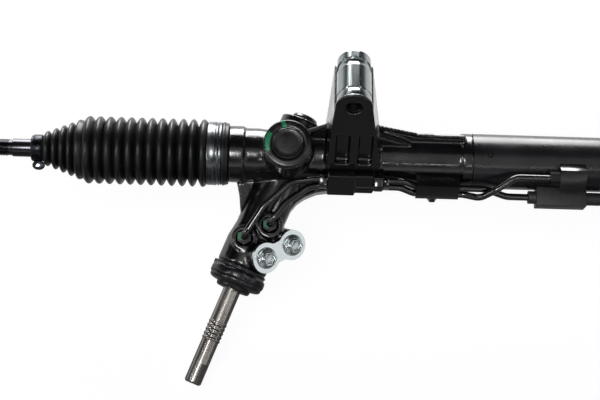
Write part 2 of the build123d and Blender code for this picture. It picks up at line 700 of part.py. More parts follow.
# ---------------------------------------------------------------- pinion, valve and input shaft
def pinion():
    nut_end = NUT_START + NUT_LENGTH
    bearing_r = BALL_BEARING_INNER - STATIC_GAP
    shoulder = BALL_BEARING_AT + BALL_BEARING_WIDTH / 2 + 0.5
    body = pinion_gear()
    body += turned(
        PINION,
        (0, NUT_START), (bearing_r - 1.0, NUT_START), (bearing_r - 1.0, nut_end),
        (bearing_r, nut_end), (bearing_r, shoulder), (pinion_root_r(), shoulder),
        (pinion_root_r(), GEAR_HALF), (JOURNAL_R, GEAR_HALF), (JOURNAL_R, VALVE_START - SEAL_WIDTH),
        (PINION_HEAD_R, VALVE_START - SEAL_WIDTH), (PINION_HEAD_R, VALVE_START - 1),
        (INPUT_CORE_R, VALVE_START - 1), (INPUT_CORE_R, VALVE_START + 4), (0, VALVE_START + 4),
    )
    slot = 2 * (TONGUE_HALF + TONGUE_REACH * math.sin(math.radians(VALVE_TWIST)) + 0.2)
    body -= PINION * Pos(0, 0, VALVE_START) * Box(slot, 3 * PINION_HEAD_R, 14)
    return body - shaft(PINION, TORSION_HEAD_R + STATIC_GAP, TORSION_START - 1, VALVE_START + 5)


def pinion_nut():
    end = NUT_START + NUT_LENGTH - STATIC_GAP
    nut = hexagon(PINION, 2 * NUT_R - 1, NUT_START, end)
    return nut - shaft(PINION, BALL_BEARING_INNER - 1, NUT_START - 1, end + 1)


def pinion_plug():
    """Screw plug that closes the foot of the pinion housing."""
    tip = PINION_FOOT - PLUG_BOSS_HEIGHT
    rim = PINION_FOOT + PLUG_LENGTH
    cup = turned(
        PINION,
        (0, tip), (PLUG_BOSS_R - 3, tip), (PLUG_BOSS_R - 1, tip + 1), (PLUG_BOSS_R, tip + 3),
        (PLUG_BOSS_R, PINION_FOOT), (PLUG_R, PINION_FOOT), (PLUG_R, rim), (PLUG_R - 4, rim),
        (PLUG_R - 4, PINION_FOOT + 1), (0, PINION_FOOT + 1),
    )
    return cup - hexagon(PINION, 12.0, tip - 1, tip + 3)


def bearing_span():
    half = BALL_BEARING_WIDTH / 2
    return BALL_BEARING_AT - half, BALL_BEARING_AT + half


def ball_track():
    """Torus the balls run in, a running fit larger than the balls."""
    middle = (BEARING_R + BALL_BEARING_INNER) / 2
    return PINION * Pos(0, 0, BALL_BEARING_AT) * Torus(middle, BALL_R + RUNNING_FIT)


def pinion_bearing_outer():
    middle = (BEARING_R + BALL_BEARING_INNER) / 2
    return ring(PINION, BEARING_R, middle + BALL_R * 0.5, *bearing_span()) - ball_track()


def pinion_bearing_inner():
    middle = (BEARING_R + BALL_BEARING_INNER) / 2
    return ring(PINION, middle - BALL_R * 0.5, BALL_BEARING_INNER, *bearing_span()) - ball_track()


def pinion_bearing_balls():
    middle = (BEARING_R + BALL_BEARING_INNER) / 2
    place = PINION * Pos(0, 0, BALL_BEARING_AT)
    turns = [Rot(0, 0, 360 * index / BALL_COUNT) for index in range(BALL_COUNT)]
    return Compound(children=[place * turn * Pos(middle, 0, 0) * Sphere(BALL_R) for turn in turns])


def needle_bearing():
    """Drawn-cup needle bearing on the pinion's journal, kept as a plain shell."""
    start = GEAR_HALF + GEAR_ROOM + 0.5
    inner = JOURNAL_R + RUNNING_FIT
    return ring(PINION, inner + NEEDLE_WALL, inner, start, start + NEEDLE_LENGTH)


def pinion_seal():
    """Seal between the gear oil and the valve."""
    start = VALVE_START - SEAL_WIDTH + 0.5
    return ring(PINION, VALVE_BORE - STATIC_GAP, PINION_HEAD_R + RUNNING_FIT, start, start + 6)


def valve_rings_at():
    span = VALVE_END - VALVE_START
    return [VALVE_START + span * share for share in (0.12, 0.37, 0.62, 0.87)]


def valve_sleeve():
    """Outer valve member: ring grooves outside, oil slots between them."""
    inner = INPUT_CORE_R + RUNNING_FIT
    sleeve = ring(PINION, VALVE_SLEEVE_R, inner, VALVE_START, VALVE_END)
    half = VALVE_RING_WIDTH / 2 + STATIC_GAP
    stations = valve_rings_at()
    for station in stations:
        sleeve -= ring(PINION, VALVE_SLEEVE_R + 1, VALVE_SLEEVE_R - 1.5, station - half, station + half)
    for low, high in zip(stations, stations[1:]):
        for turn in range(0, 360, 90):
            place = PINION * Pos(0, 0, (low + high) / 2) * Rot(0, 0, turn)
            sleeve -= place * Rot(0, 90, 0) * Pos(0, 0, VALVE_BORE / 2) * Cylinder(1.6, VALVE_BORE)
    return sleeve


def valve_rings():
    half = VALVE_RING_WIDTH / 2
    inner = VALVE_SLEEVE_R - 1.5 + STATIC_GAP
    outer = VALVE_BORE - RUNNING_FIT
    return Compound(children=[ring(PINION, outer, inner, at - half, at + half) for at in valve_rings_at()])


def input_shaft():
    """Input shaft: tongue in the pinion, valve lands, bearing, ring grooves, milled flat."""
    core_start = VALVE_START + 4.5
    bore = TORSION_R + 0.6
    body = turned(
        PINION,
        (bore, core_start), (INPUT_CORE_R, core_start), (INPUT_CORE_R, VALVE_END + 1),
        (INPUT_R, VALVE_END + 1), (INPUT_R, INPUT_TIP_START), (INPUT_TIP_R, INPUT_TIP_START),
        (INPUT_TIP_R, INPUT_END - 1.5), (INPUT_TIP_R - 1.5, INPUT_END),
        (0, INPUT_END), (0, TORSION_END + 1), (bore, TORSION_END + 1),
    )
    body += tongue() - shaft(PINION, TORSION_HEAD_R + 0.6, VALVE_START - 8, core_start)
    body -= shaft(PINION, TORSION_HEAD_R + STATIC_GAP, TORSION_END - 15, TORSION_END + 1)
    for start in RING_GROOVES:
        body -= ring(PINION, INPUT_R + 1, INPUT_R - RING_GROOVE_DEPTH, start, start + RING_GROOVE_WIDTH)
    flat = Box(2 * INPUT_R, FLAT_DEPTH, INPUT_END - FLAT_START)
    turn = PINION * Rot(0, 0, FLAT_TURN)
    offset = INPUT_TIP_R - FLAT_DEPTH / 2
    body -= turn * Pos(0, offset, (INPUT_END + FLAT_START) / 2) * flat
    return body - valve_slots()


def tongue():
    """Flat tongue that stops against the pinion's slot if the torsion bar twists too far."""
    height = VALVE_START + 4.5 - (VALVE_START - 6.5)
    block = Box(2 * TONGUE_HALF, 2 * TONGUE_REACH, height)
    return PINION * Pos(0, 0, VALVE_START - 6.5 + height / 2) * block


def valve_slots():
    """Metering grooves on the valve lands."""
    slots = Part()
    for turn in range(0, 360, 60):
        block = Box(2.5, 2.0, (VALVE_END - VALVE_START) * 0.5)
        middle = (VALVE_START + VALVE_END) / 2
        slots += PINION * Rot(0, 0, turn) * Pos(0, INPUT_CORE_R, middle) * block
    return slots


def torsion_bar():
    return turned(
        PINION,
        (0, TORSION_START), (TORSION_HEAD_R, TORSION_START), (TORSION_HEAD_R, TORSION_START + 14),
        (TORSION_R, TORSION_START + 16), (TORSION_R, TORSION_END - 14),
        (TORSION_HEAD_R, TORSION_END - 12), (TORSION_HEAD_R, TORSION_END), (0, TORSION_END),
    )


def input_bearing():
    start = VALVE_END + 2
    return ring(PINION, VALVE_BORE - STATIC_GAP, INPUT_R + RUNNING_FIT, start, start + 7)


def input_seal():
    start = VALVE_END + 9.5
    return ring(PINION, VALVE_BORE - STATIC_GAP, INPUT_R + RUNNING_FIT, start, HOUSING_TOP - 1)


def dust_cap():
    """Stepped rubber cap over the end of the pinion housing."""
    inner = TOP_FLANGE_R + STATIC_GAP
    lip = INPUT_R + 0.5
    rim_r = DUST_CAP_R - CAP_RIM[1]
    rim_end = DUST_CAP_START + CAP_RIM[0]
    body_start, body_end = (DUST_CAP_START + station for station in CAP_BODY)
    inside = CAP_NECK_R - CAP_WALL
    low = HOUSING_TOP + 0.3
    return turned(
        PINION,
        (inner, DUST_CAP_START), (rim_r, DUST_CAP_START), (rim_r, rim_end), (rim_r - 0.8, rim_end),
        (rim_r - 0.8, body_start - 1), (DUST_CAP_R, body_start), (DUST_CAP_R, body_end - 3),
        (DUST_CAP_R - 3, body_end), (CAP_NECK_R, body_end + 1), (CAP_NECK_R, DUST_CAP_END - 1),
        (CAP_NECK_R - 1, DUST_CAP_END), (lip, DUST_CAP_END), (lip, DUST_CAP_END - CAP_WALL),
        (inside, DUST_CAP_END - CAP_WALL), (inside, body_end - 1.5), (inner - 2, body_end - CAP_WALL - 1.5),
        (inner - 2, low), (inner, low),
    )


# ---------------------------------------------------------------- yoke
def liner_shell(outer):
    """The part of a tube round the rack that lies under the yoke."""
    wrap = shaft(YOKE, YOKE_R - 1, 6, YOKE_END)
    return ring(RACK, outer, RACK_R + RUNNING_FIT, -YOKE_R, YOKE_R) & wrap


def yoke():
    body = shaft(YOKE, YOKE_R, 4, YOKE_END)
    body -= shaft(RACK, RACK_R + RUNNING_FIT + LINER_WALL + STATIC_GAP, -2 * YOKE_R, 2 * YOKE_R)
    groove = ring(YOKE, YOKE_R + 1, YOKE_R - 2 * ORING_WIRE_R, ORING_STATION - 1.4, ORING_STATION + 1.4)
    body -= groove
    return body - shaft(YOKE, SPRING_POCKET, YOKE_END - 8, YOKE_END + 1)


def yoke_liner():
    return liner_shell(RACK_R + RUNNING_FIT + LINER_WALL)


def yoke_oring():
    middle = YOKE_R + STATIC_GAP - ORING_WIRE_R - 0.05
    return YOKE * Pos(0, 0, ORING_STATION) * Torus(middle, ORING_WIRE_R)


def yoke_spring():
    """Coil spring from the yoke's pocket to the cap's."""
    bottom = YOKE_END - 8 + SPRING_WIRE_R + 0.1
    top = CAP_BOTTOM + 4 - SPRING_WIRE_R - 0.1
    path = Helix(SPRING_PITCH, top - bottom, SPRING_R)
    wire = Plane(origin=path @ 0, z_dir=path % 0) * Circle(SPRING_WIRE_R)
    return YOKE * Pos(0, 0, bottom) * sweep(wire, path)


def yoke_cap():
    """Screw cap with a slightly domed face and a pocket for the spring."""
    cap = turned(
        YOKE,
        (0, CAP_BOTTOM), (CAP_R, CAP_BOTTOM), (CAP_R, CAP_TOP - 2.5), (CAP_R - 1.2, CAP_TOP - 1.2),
        (CAP_R - 5, CAP_TOP - 0.4), (0, CAP_TOP),
    )
    return cap - shaft(YOKE, SPRING_POCKET, CAP_BOTTOM - 1, CAP_BOTTOM + 4)


def yoke_locknut():
    """Ring nut with four spanner notches."""
    inner = CAP_R + STATIC_GAP
    nut = ring(YOKE, LOCKNUT_R, inner, YOKE_BOSS_TOP, YOKE_BOSS_TOP + LOCKNUT_HEIGHT)
    for turn in range(0, 360, 90):
        place = YOKE * Rot(0, 0, turn + 45)
        nut -= place * Pos(LOCKNUT_R, 0, YOKE_BOSS_TOP + LOCKNUT_HEIGHT) * Box(3, 5, 3)
    return nut


# ---------------------------------------------------------------- hydraulic lines
def port_point(port, height):
    across, along = port
    point = (PINION * Pos(across, height, along)).position
    return point.X, point.Y, point.Z


def line_point(angle, radius, station):
    point = around_rack(angle, radius, station)
    return point.X, point.Y, point.Z


def far_line_route():
    """From the lower port to the far end of the cylinder."""
    start = FAR_PORT_X - PORT_BLOCK_LENGTH / 2 + 3
    return [
        port_point(LOWER_PORT, PORT_BOSS_TOP - PORT_DEPTH + 1), port_point(LOWER_PORT, 36.0),
        (-21.0, -58.0, -4.0), (4.0, -38.5, 9.0), (26.0, *FAR_AT_CLAMP),
        (107.0, *FAR_AT_CLAMP), (BRACKET[0] + 1, *FAR_AT_BRACKET),
        (BRACKET[1] + FAR_BEND[0], *FAR_AT_BRACKET),
        line_point(FAR_PORT_ANGLE, FAR_LINE_RADIUS, BRACKET[1] + FAR_BEND[1]),
        line_point(FAR_PORT_ANGLE, FAR_LINE_RADIUS, start),
    ]


def near_line_route():
    """From the upper port to the near end of the cylinder, over the other line."""
    start = NEAR_PORT_X - PORT_BLOCK_LENGTH / 2 + 3
    bends = [BRACKET[1] + past for past in NEAR_BEND]
    return [
        port_point(UPPER_PORT, PORT_BOSS_TOP - PORT_DEPTH + 1), port_point(UPPER_PORT, 36.0),
        (0.0, -51.5, -4.0), (20.0, -36.4, -0.2), (33.0, *NEAR_AT_CLAMP),
        (104.0, *NEAR_AT_CLAMP), (BRACKET[0] - 2, *NEAR_AT_BRACKET), (bends[0], *NEAR_AT_BRACKET),
        (bends[1], -38.8, -6.0), (bends[2], -38.4, 5.0),
        line_point(NEAR_PORT_ANGLE, FAR_LINE_RADIUS, bends[3]),
        line_point(NEAR_PORT_ANGLE, FAR_LINE_RADIUS, start),
    ]


def line_path(route):
    """Straight runs joined by bends as large as the runs allow."""
    points = [Vector(*point) for point in route]
    radii = []
    for before, corner, after in zip(points, points[1:], points[2:]):
        shorter = min((corner - before).length, (after - corner).length)
        turn = math.radians((corner - before).get_angle(after - corner))
        radii.append(min(LINE_BEND_R, 0.45 * shorter / math.tan(turn / 2)))
    return FilletPolyline(*points, radius=radii)


def along_line(route, radius):
    path = line_path(route)
    return sweep(Plane(origin=path @ 0, z_dir=path % 0) * Circle(radius), path)


def line_tube(route):
    return along_line(route, LINE_R) - along_line(route, LINE_R - LINE_WALL)


def line_rooms():
    """Clearance round both lines."""
    room = LINE_R + STATIC_GAP
    return along_line(far_line_route(), room) + along_line(near_line_route(), room)


def nut_on(start, toward):
    """Hexagon tube nut on a line, from a point along a direction."""
    begin = Vector(*start)
    axis = Plane(origin=begin, z_dir=Vector(*toward) - begin).location
    nut = hexagon(axis, 2 * LINE_NUT_R - 1.9, 0, LINE_NUT_LENGTH)
    return nut - shaft(axis, LINE_R + STATIC_GAP, -1, LINE_NUT_LENGTH + 1)


def line_nuts():
    nuts = []
    for port in (LOWER_PORT, UPPER_PORT):
        foot = PORT_BOSS_TOP - PORT_DEPTH + 1
        nuts.append(nut_on(port_point(port, foot), port_point(port, foot + 10)))
    for angle, station in ((NEAR_PORT_ANGLE, NEAR_PORT_X), (FAR_PORT_ANGLE, FAR_PORT_X)):
        face = station - PORT_BLOCK_LENGTH / 2 - STATIC_GAP
        foot = line_point(angle, FAR_LINE_RADIUS, face)
        nuts.append(nut_on(foot, line_point(angle, FAR_LINE_RADIUS, face - 10)))
    return Compound(children=nuts)


def line_clamp_block():
    """Two-step clamp block on the barrel that holds both lines."""
    start, end = CLAMP_BLOCK
    barrel_r = BARREL_R + STATIC_GAP
    step = start + CLAMP_BLOCK_STEP
    block = side_block(LINE_ANGLE, start, step, barrel_r - 3, CLAMP_BLOCK_TOP, CLAMP_BLOCK_WIDTH)
    block += side_block(
        LINE_ANGLE, step, end, barrel_r - 3, CLAMP_BLOCK_TOP - 2, CLAMP_BLOCK_WIDTH - 3
    )
    tail = end + CLAMP_BLOCK_TAIL
    block += side_block(LINE_ANGLE, end, tail, barrel_r - 3, CLAMP_BLOCK_TOP - 3, 17)
    block -= shaft(RACK, barrel_r, start - 1, tail + 1)
    return block - line_rooms()


def line_bracket():
    """Bracket over the lines, with a foot toward the barrel."""
    start, end = BRACKET
    barrel_r = BARREL_R + STATIC_GAP
    block = side_block(BRACKET_ANGLE, start, end, barrel_r - 2, BRACKET_TOP, BRACKET_WIDTH)
    block -= shaft(RACK, barrel_r, start - 1, end + 1)
    return block - line_rooms()


def bracket_bolt():
    """Bolt from below through the bracket's lower lug."""
    middle = BRACKET[0] + 16
    foot = BRACKET_WIDTH / 2
    place = rack_side(BRACKET_ANGLE, middle) * Pos(0, -foot, BRACKET_TOP - 4.5) * Rot(90, 0, 0)
    return hexagon(place, 8.0, STATIC_GAP, 6.5)


def line_isolator():
    """Rubber block that cushions the far line against the cylinder."""
    start, end = ISOLATOR
    place = Pos(0, *line_point(FAR_PORT_ANGLE, FAR_LINE_RADIUS, 0)[1:])
    half = ISOLATOR_HALF
    block = Box(end - start, 2 * half, 2 * half)
    body = place * Pos((start + end) / 2, 0, 0) * Rot(-FAR_PORT_ANGLE, 0, 0) * block
    body += place * shaft(RACK, 6.0, start - 7, start)
    body += place * shaft(RACK, 6.0, end, end + 14)
    body -= shaft(RACK, TUBE_R + LOOSE_GAP, start - 8, end + 15)
    return body - place * shaft(RACK, LINE_R + STATIC_GAP, start - 8, end + 15)


# ---------------------------------------------------------------- hose port cover
def port_cover_plate():
    """Dumbbell plate over the two hose ports."""
    (x1, z1), (x2, z2) = HOSE_PORTS
    top = HOSE_FACE + 0.1 + PLATE_THICKNESS
    length = math.hypot(x2 - x1, z2 - z1)
    turn = math.degrees(math.atan2(x2 - x1, z2 - z1))
    plate = Part()
    for across, along in HOSE_PORTS:
        plate += HOSES * Pos(across, 0, along) * boss_along_y(HOSE_BOSS_R, HOSE_FACE + 0.1, top)
    middle = HOSES * Pos((x1 + x2) / 2, top - PLATE_THICKNESS / 2, (z1 + z2) / 2)
    return plate + middle * Rot(0, turn, 0) * Box(HOSE_BOSS_R, PLATE_THICKNESS, length)


def port_bolts():
    """Two flanged hexagon bolts that hold the plate."""
    base = HOSE_FACE + 0.1 + PLATE_THICKNESS + STATIC_GAP
    bolts = []
    for across, along in HOSE_PORTS:
        place = HOSES * Pos(across, base, along) * Rot(-90, 0, 0)
        flange = turned(place, (0, 0), (BOLT_FLANGE_R, 0), (BOLT_FLANGE_R, 1.0), (6.5, 2.4), (0, 2.4))
        bolts.append(flange + hexagon(place, BOLT_HEX_AF, 2.0, 2.0 + BOLT_HEAD))
    return Compound(children=bolts)


# ---------------------------------------------------------------- tie rod ends, left side
def socket():
    """Inner tie-rod socket with the stud that screws into the rack."""
    lip = BALL_X - LIP_PAST_BALL
    body = turned(
        RACK,
        (0, lip), (SOCKET_R - 2.5, lip), (SOCKET_R, lip + 4), (SOCKET_R, RACK_LEFT_END - 4),
        (SOCKET_R - 2.5, RACK_LEFT_END), (STUD_R, RACK_LEFT_END), (STUD_R, RACK_LEFT_END + STUD_LENGTH),
        (0, RACK_LEFT_END + STUD_LENGTH),
    )
    cavity = Sphere(SEAT_R + RUNNING_FIT)
    return body - Pos(BALL_X, 0, 0) * cavity


def ball_seat():
    """Plastic shell between the ball and the socket."""
    shell = Sphere(SEAT_R) - Sphere(BALL_JOINT_R + RUNNING_FIT)
    shell -= Pos(-SEAT_PAST_BALL - SEAT_R, 0, 0) * Box(2 * SEAT_R, 3 * SEAT_R, 3 * SEAT_R)
    return Pos(BALL_X, 0, 0) * shell


def tie_rod():
    """Ball, neck, shank and threaded end in one forging."""
    neck_end = BALL_X - ROD_NECK_LENGTH
    thread_begin = THREAD_START - RUN_OUT_LENGTH
    body = turned(
        RACK,
        (0, BALL_X), (ROD_NECK_R, BALL_X), (ROD_NECK_R, neck_end), (ROD_R, neck_end - ROD_SHOULDER),
        (ROD_R, THREAD_START), (THREAD_R - RUN_OUT_DEPTH, THREAD_START),
        (THREAD_R - RUN_OUT_DEPTH, thread_begin), (THREAD_R, thread_begin),
        (THREAD_R, ROD_END + ROD_CHAMFER), (THREAD_R - ROD_CHAMFER, ROD_END), (0, ROD_END),
    )
    return body + Pos(BALL_X, 0, 0) * Sphere(BALL_JOINT_R)


# ---------------------------------------------------------------- boots, left side
def boot_folds():
    """Crests and grooves of the bellows as (radius, station), small end first."""
    points = []
    groove = BOOT_NECK_R
    for index in range(SMALL_CRESTS):
        crest = SMALL_CREST_R + index * SMALL_CREST_STEP
        station = SMALL_CREST_X + index * SMALL_PITCH
        points.append((groove, station - SMALL_PITCH / 2))
        points.append((crest, station))
        groove = crest - 3.0
    for index in range(LARGE_CRESTS):
        station = LARGE_CREST_X + index * LARGE_PITCH
        points.append((LARGE_CREST_R - FOLD_DEPTH, station - LARGE_PITCH / 2))
        points.append((LARGE_CREST_R, station))
    return points


def boot():
    folds = boot_folds()
    neck_start, neck_end = BOOT_NECK
    outside = [(BOOT_NECK_R, neck_start), (BOOT_NECK_R, neck_end)] + folds[1:]
    outside += [(CUFF_R, CUFF_START), (CUFF_R, BOOT_SEAT_END - 0.3)]
    seat = BOOT_SEAT_R + 0.1
    inner_folds = [(radius - BOOT_WALL, station) for radius, station in folds[1:]]
    inside = [(seat, BOOT_SEAT_END - 0.3), (seat, CUFF_START + 0.2)] + inner_folds[::-1]
    inside += [(ROD_R + 0.3, neck_end), (ROD_R + 0.3, neck_start)]
    return turned(RACK, *(outside + inside))


def boot_band():
    """Flat band round the boot's cuff, with its closing ear."""
    start = CUFF_START + BAND_SETBACK
    inner = CUFF_R + STATIC_GAP
    band = ring(RACK, inner + BAND_THICKNESS, inner, start, start + BAND_WIDTH)
    ear = Box(BAND_WIDTH, 4.0, 3.5)
    return band + Pos(start + BAND_WIDTH / 2, 0, -inner - BAND_THICKNESS - 1.6) * ear


def rod_clamp():
    """Spring clamp round the boot's neck, with two ears."""
    inner = BOOT_NECK_R + STATIC_GAP
    half = ROD_CLAMP_WIDTH / 2
    clamp = ring(RACK, inner + ROD_CLAMP_THICKNESS, inner, ROD_CLAMP_X - half, ROD_CLAMP_X + half)
    for side in (-1, 1):
        place = rack_side(CLAMP_EAR_ANGLE, ROD_CLAMP_X) * Pos(0, side * 2.4, inner + 4.2)
        clamp += place * Box(ROD_CLAMP_WIDTH, 1.6, 8.0)
    return clamp


# ---------------------------------------------------------------- all parts
def left_and_right(name, solid):
    return {"left_" + name: solid, "right_" + name: mirrored(solid)}


def all_parts():
    spigot_end = CASTING_END + SPIGOT_LENGTH
    parts = {
        "rack_housing": rack_housing(),
        "cylinder_tube": cylinder_tube(),
        "right_mount_housing": right_mount_housing(),
        "left_mount_sleeve": mount_sleeve(MOUNT_X),
        "right_mount_sleeve": mount_sleeve(RIGHT_MOUNT_X),
        "near_port_block": port_block(NEAR_PORT_ANGLE, NEAR_PORT_X),
        "far_port_block": port_block(FAR_PORT_ANGLE, FAR_PORT_X),
        "rack_bush": rack_bush(),
        "inner_rack_seal": rack_seal(spigot_end - SEAL_WIDTH - 2),
        "bulkhead": bulkhead(),
        "outer_rack_seal": rack_seal(BULKHEAD_START + 0.5),
        "outer_rack_bush": outer_bush(),
        "bulkhead_ring": bulkhead_ring(),
        "rack_bar": rack_bar(),
        "piston": piston(),
        "piston_ring": piston_ring(),
        "piston_clips": piston_clips(),
        "pinion": pinion(),
        "pinion_nut": pinion_nut(),
        "pinion_plug": pinion_plug(),
        "pinion_bearing_outer": pinion_bearing_outer(),
        "pinion_bearing_inner": pinion_bearing_inner(),
        "pinion_bearing_balls": pinion_bearing_balls(),
        "needle_bearing": needle_bearing(),
        "pinion_seal": pinion_seal(),
        "valve_sleeve": valve_sleeve(),
        "valve_rings": valve_rings(),
        "input_shaft": input_shaft(),
        "torsion_bar": torsion_bar(),
        "input_bearing": input_bearing(),
        "input_seal": input_seal(),
        "dust_cap": dust_cap(),
        "yoke": yoke(),
        "yoke_liner": yoke_liner(),
        "yoke_oring": yoke_oring(),
        "yoke_spring": yoke_spring(),
        "yoke_cap": yoke_cap(),
        "yoke_locknut": yoke_locknut(),
        "far_line": line_tube(far_line_route()),
        "near_line": line_tube(near_line_route()),
        "line_nuts": line_nuts(),
        "line_clamp_block": line_clamp_block(),
        "line_bracket": line_bracket(),
        "bracket_bolt": bracket_bolt(),
        "line_isolator": line_isolator(),
        "port_cover_plate": port_cover_plate(),
        "port_bolts": port_bolts(),
    }
    parts.update(left_and_right("socket", socket()))
    parts.update(left_and_right("ball_seat", ball_seat()))
    parts.update(left_and_right("tie_rod", tie_rod()))
    parts.update(left_and_right("boot", boot()))
    parts.update(left_and_right("boot_band", boot_band()))
    parts.update(left_and_right("rod_clamp", rod_clamp()))
    return parts


os.makedirs("parts", exist_ok=True)
TO_ORIGIN = Pos(-MOUNT_X, 0, -MOUNT_HEIGHT)
for node, solid in all_parts().items():
    export_step(TO_ORIGIN * solid, os.path.join("parts", node + ".step"))
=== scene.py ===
import bmesh
import bpy
import json
import math
from mathutils import Matrix, Vector


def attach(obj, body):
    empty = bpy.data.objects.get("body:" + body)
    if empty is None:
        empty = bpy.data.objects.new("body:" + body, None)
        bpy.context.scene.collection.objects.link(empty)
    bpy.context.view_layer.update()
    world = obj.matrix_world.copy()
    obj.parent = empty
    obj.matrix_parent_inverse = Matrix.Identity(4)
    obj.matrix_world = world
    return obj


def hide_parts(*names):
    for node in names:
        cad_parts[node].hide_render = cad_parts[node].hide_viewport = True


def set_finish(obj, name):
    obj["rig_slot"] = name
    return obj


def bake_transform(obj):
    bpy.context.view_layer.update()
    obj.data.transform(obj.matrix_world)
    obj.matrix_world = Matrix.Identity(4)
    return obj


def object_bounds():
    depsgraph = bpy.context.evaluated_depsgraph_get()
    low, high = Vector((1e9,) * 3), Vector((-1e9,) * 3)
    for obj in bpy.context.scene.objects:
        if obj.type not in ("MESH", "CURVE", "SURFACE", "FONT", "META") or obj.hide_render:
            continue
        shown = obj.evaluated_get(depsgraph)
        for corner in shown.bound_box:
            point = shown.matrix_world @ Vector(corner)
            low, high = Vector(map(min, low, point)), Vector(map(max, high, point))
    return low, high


# Looks of the steering rack.  Lengths in the pieces are in millimetres along the rack or the pinion
# shaft, counted from the point where the two meet; each place turns them into the frame in metres.
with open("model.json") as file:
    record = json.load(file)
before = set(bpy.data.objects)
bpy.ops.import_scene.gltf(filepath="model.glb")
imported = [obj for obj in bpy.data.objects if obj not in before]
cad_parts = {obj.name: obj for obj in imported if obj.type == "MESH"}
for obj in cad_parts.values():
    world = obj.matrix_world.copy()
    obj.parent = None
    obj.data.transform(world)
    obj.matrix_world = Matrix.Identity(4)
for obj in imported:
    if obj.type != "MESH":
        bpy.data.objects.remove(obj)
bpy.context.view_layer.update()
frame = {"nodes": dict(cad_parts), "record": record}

MM = 0.001
MEET = (-57.0, 0.0, -100.5)                # rack's axis at the pinion, mm
PINION_CENTRE = (-57.0, 7.793, -115.157)   # pinion's axis where it passes the rack, mm
MIRROR_X = 0.167                           # middle of the rack bar, metres
MOUNT_STATIONS = (("left", 0.0), ("right", 419.0))
YOKE_DIR = (0.0, -0.469472, 0.882948)
SHAFT_DIR = (-0.358368, -0.824303, -0.438289)
ACROSS_DIR = (0.93358, -0.31642, -0.168244)
HOSE_TURN = -36.0                          # hose ports round the pinion shaft, degrees

CAMERA_AT = (-0.0445, -0.8327, 0.8987)
CAMERA_TILT = 38.0
CAMERA_ROLL = 1.72
CAMERA_LENS = 83.46
SENSOR_WIDTH = 36.0
LAMP_AIM = (-0.04, -0.03, -0.12)
LAMP_DISTANCE = 2.2
HORIZON, OVERHEAD = (0.05, "#f4f4f5"), (0.60, "#2e2f32")
SKY_BETWEEN = ((0.2, "#b4b5b7"), (0.34, "#6a6b6e"))
BOARD_SIZE = 8.0
BOARD_DROP = 0.002
BOARD_GRAIN = 300.0                        # per metre
BOARD_ROUGH = 0.9
BOARD_LIGHT = 0.9
GLOSS_FADE = (-0.1, 0.12)                  # where the board starts and ends to fade in gloss, metres
GLOSS_LEAST = 0.04
CRISP, FACET, SOFT = 30.0, 35.0, 60.0      # edges sharper than this stay crisp, degrees
MERGE_GAP = 2e-6                           # vertices this near are one, metres
SEAM_GAP = 0.0005                          # the same for turned pieces, mm
ON_AXIS = 0.001                            # a smaller radius is on the axis, mm


def place(origin, x, z):
    """Frame in millimetres with its local X and Z directions."""
    along, turn_to = Vector(z).normalized(), Vector(x).normalized()
    turn = Matrix((turn_to, along.cross(turn_to), along)).transposed().to_4x4()
    return Matrix.Scale(MM, 4) @ Matrix.Translation(origin) @ turn


def turned(degrees, axis):
    return Matrix.Rotation(math.radians(degrees), 4, axis)


RACK = place(MEET, (0, 1, 0), (1, 0, 0))
YOKE = place(MEET, (1, 0, 0), YOKE_DIR)
PINION = place(PINION_CENTRE, ACROSS_DIR, SHAFT_DIR)
HOSES = PINION @ turned(HOSE_TURN, "Z")


# ---------------------------------------------------------------- camera, light and floor
def set_camera():
    data = bpy.data.cameras.new("camera")
    data.lens = CAMERA_LENS
    data.sensor_width = SENSOR_WIDTH
    camera = bpy.data.objects.new("camera", data)
    bpy.context.collection.objects.link(camera)
    aim = turned(CAMERA_TILT, "X") @ turned(CAMERA_ROLL, "Z")
    camera.matrix_world = Matrix.Translation(CAMERA_AT) @ aim
    bpy.context.scene.camera = camera
    bpy.context.scene.view_settings.view_transform = "Standard"


def softbox(name, azimuth, elevation, size, radiance, gloss=True):
    """Rectangular lamp that faces the pinion, for gloss or for matt surfaces.

    The angles are in degrees; azimuth 0 is behind the camera.
    """
    turn, rise = math.radians(azimuth), math.radians(elevation)
    level = math.cos(rise)
    away = Vector((math.sin(turn) * level, -math.cos(turn) * level, math.sin(rise)))
    data = bpy.data.lights.new(name, "AREA")
    data.shape = "RECTANGLE"
    data.size, data.size_y = size
    data.energy = math.pi * size[0] * size[1] * radiance
    lamp = bpy.data.objects.new(name, data)
    lamp.location = Vector(LAMP_AIM) + away * LAMP_DISTANCE
    lamp.rotation_euler = away.to_track_quat("Z", "Y").to_euler()
    lamp.visible_glossy = gloss
    lamp.visible_diffuse = not gloss
    bpy.context.collection.objects.link(lamp)


def sRGB(written):
    """Linear colour of a hex value."""
    parts = [int(written[i:i + 2], 16) / 255 for i in (1, 3, 5)]
    linear = (c / 12.92 if c <= 0.04045 else ((c + 0.055) / 1.055) ** 2.4 for c in parts)
    return tuple(linear) + (1.0,)


def add(tree, kind, sockets=None, **settings):
    """Adds a node; a socket takes a value or another node's output."""
    node = tree.nodes.new("ShaderNode" + kind)
    for key, value in settings.items():
        setattr(node, key, value)
    for key, value in (sockets or {}).items():
        if isinstance(value, bpy.types.NodeSocket):
            tree.links.new(value, node.inputs[key])
        else:
            node.inputs[key].default_value = value
    return node


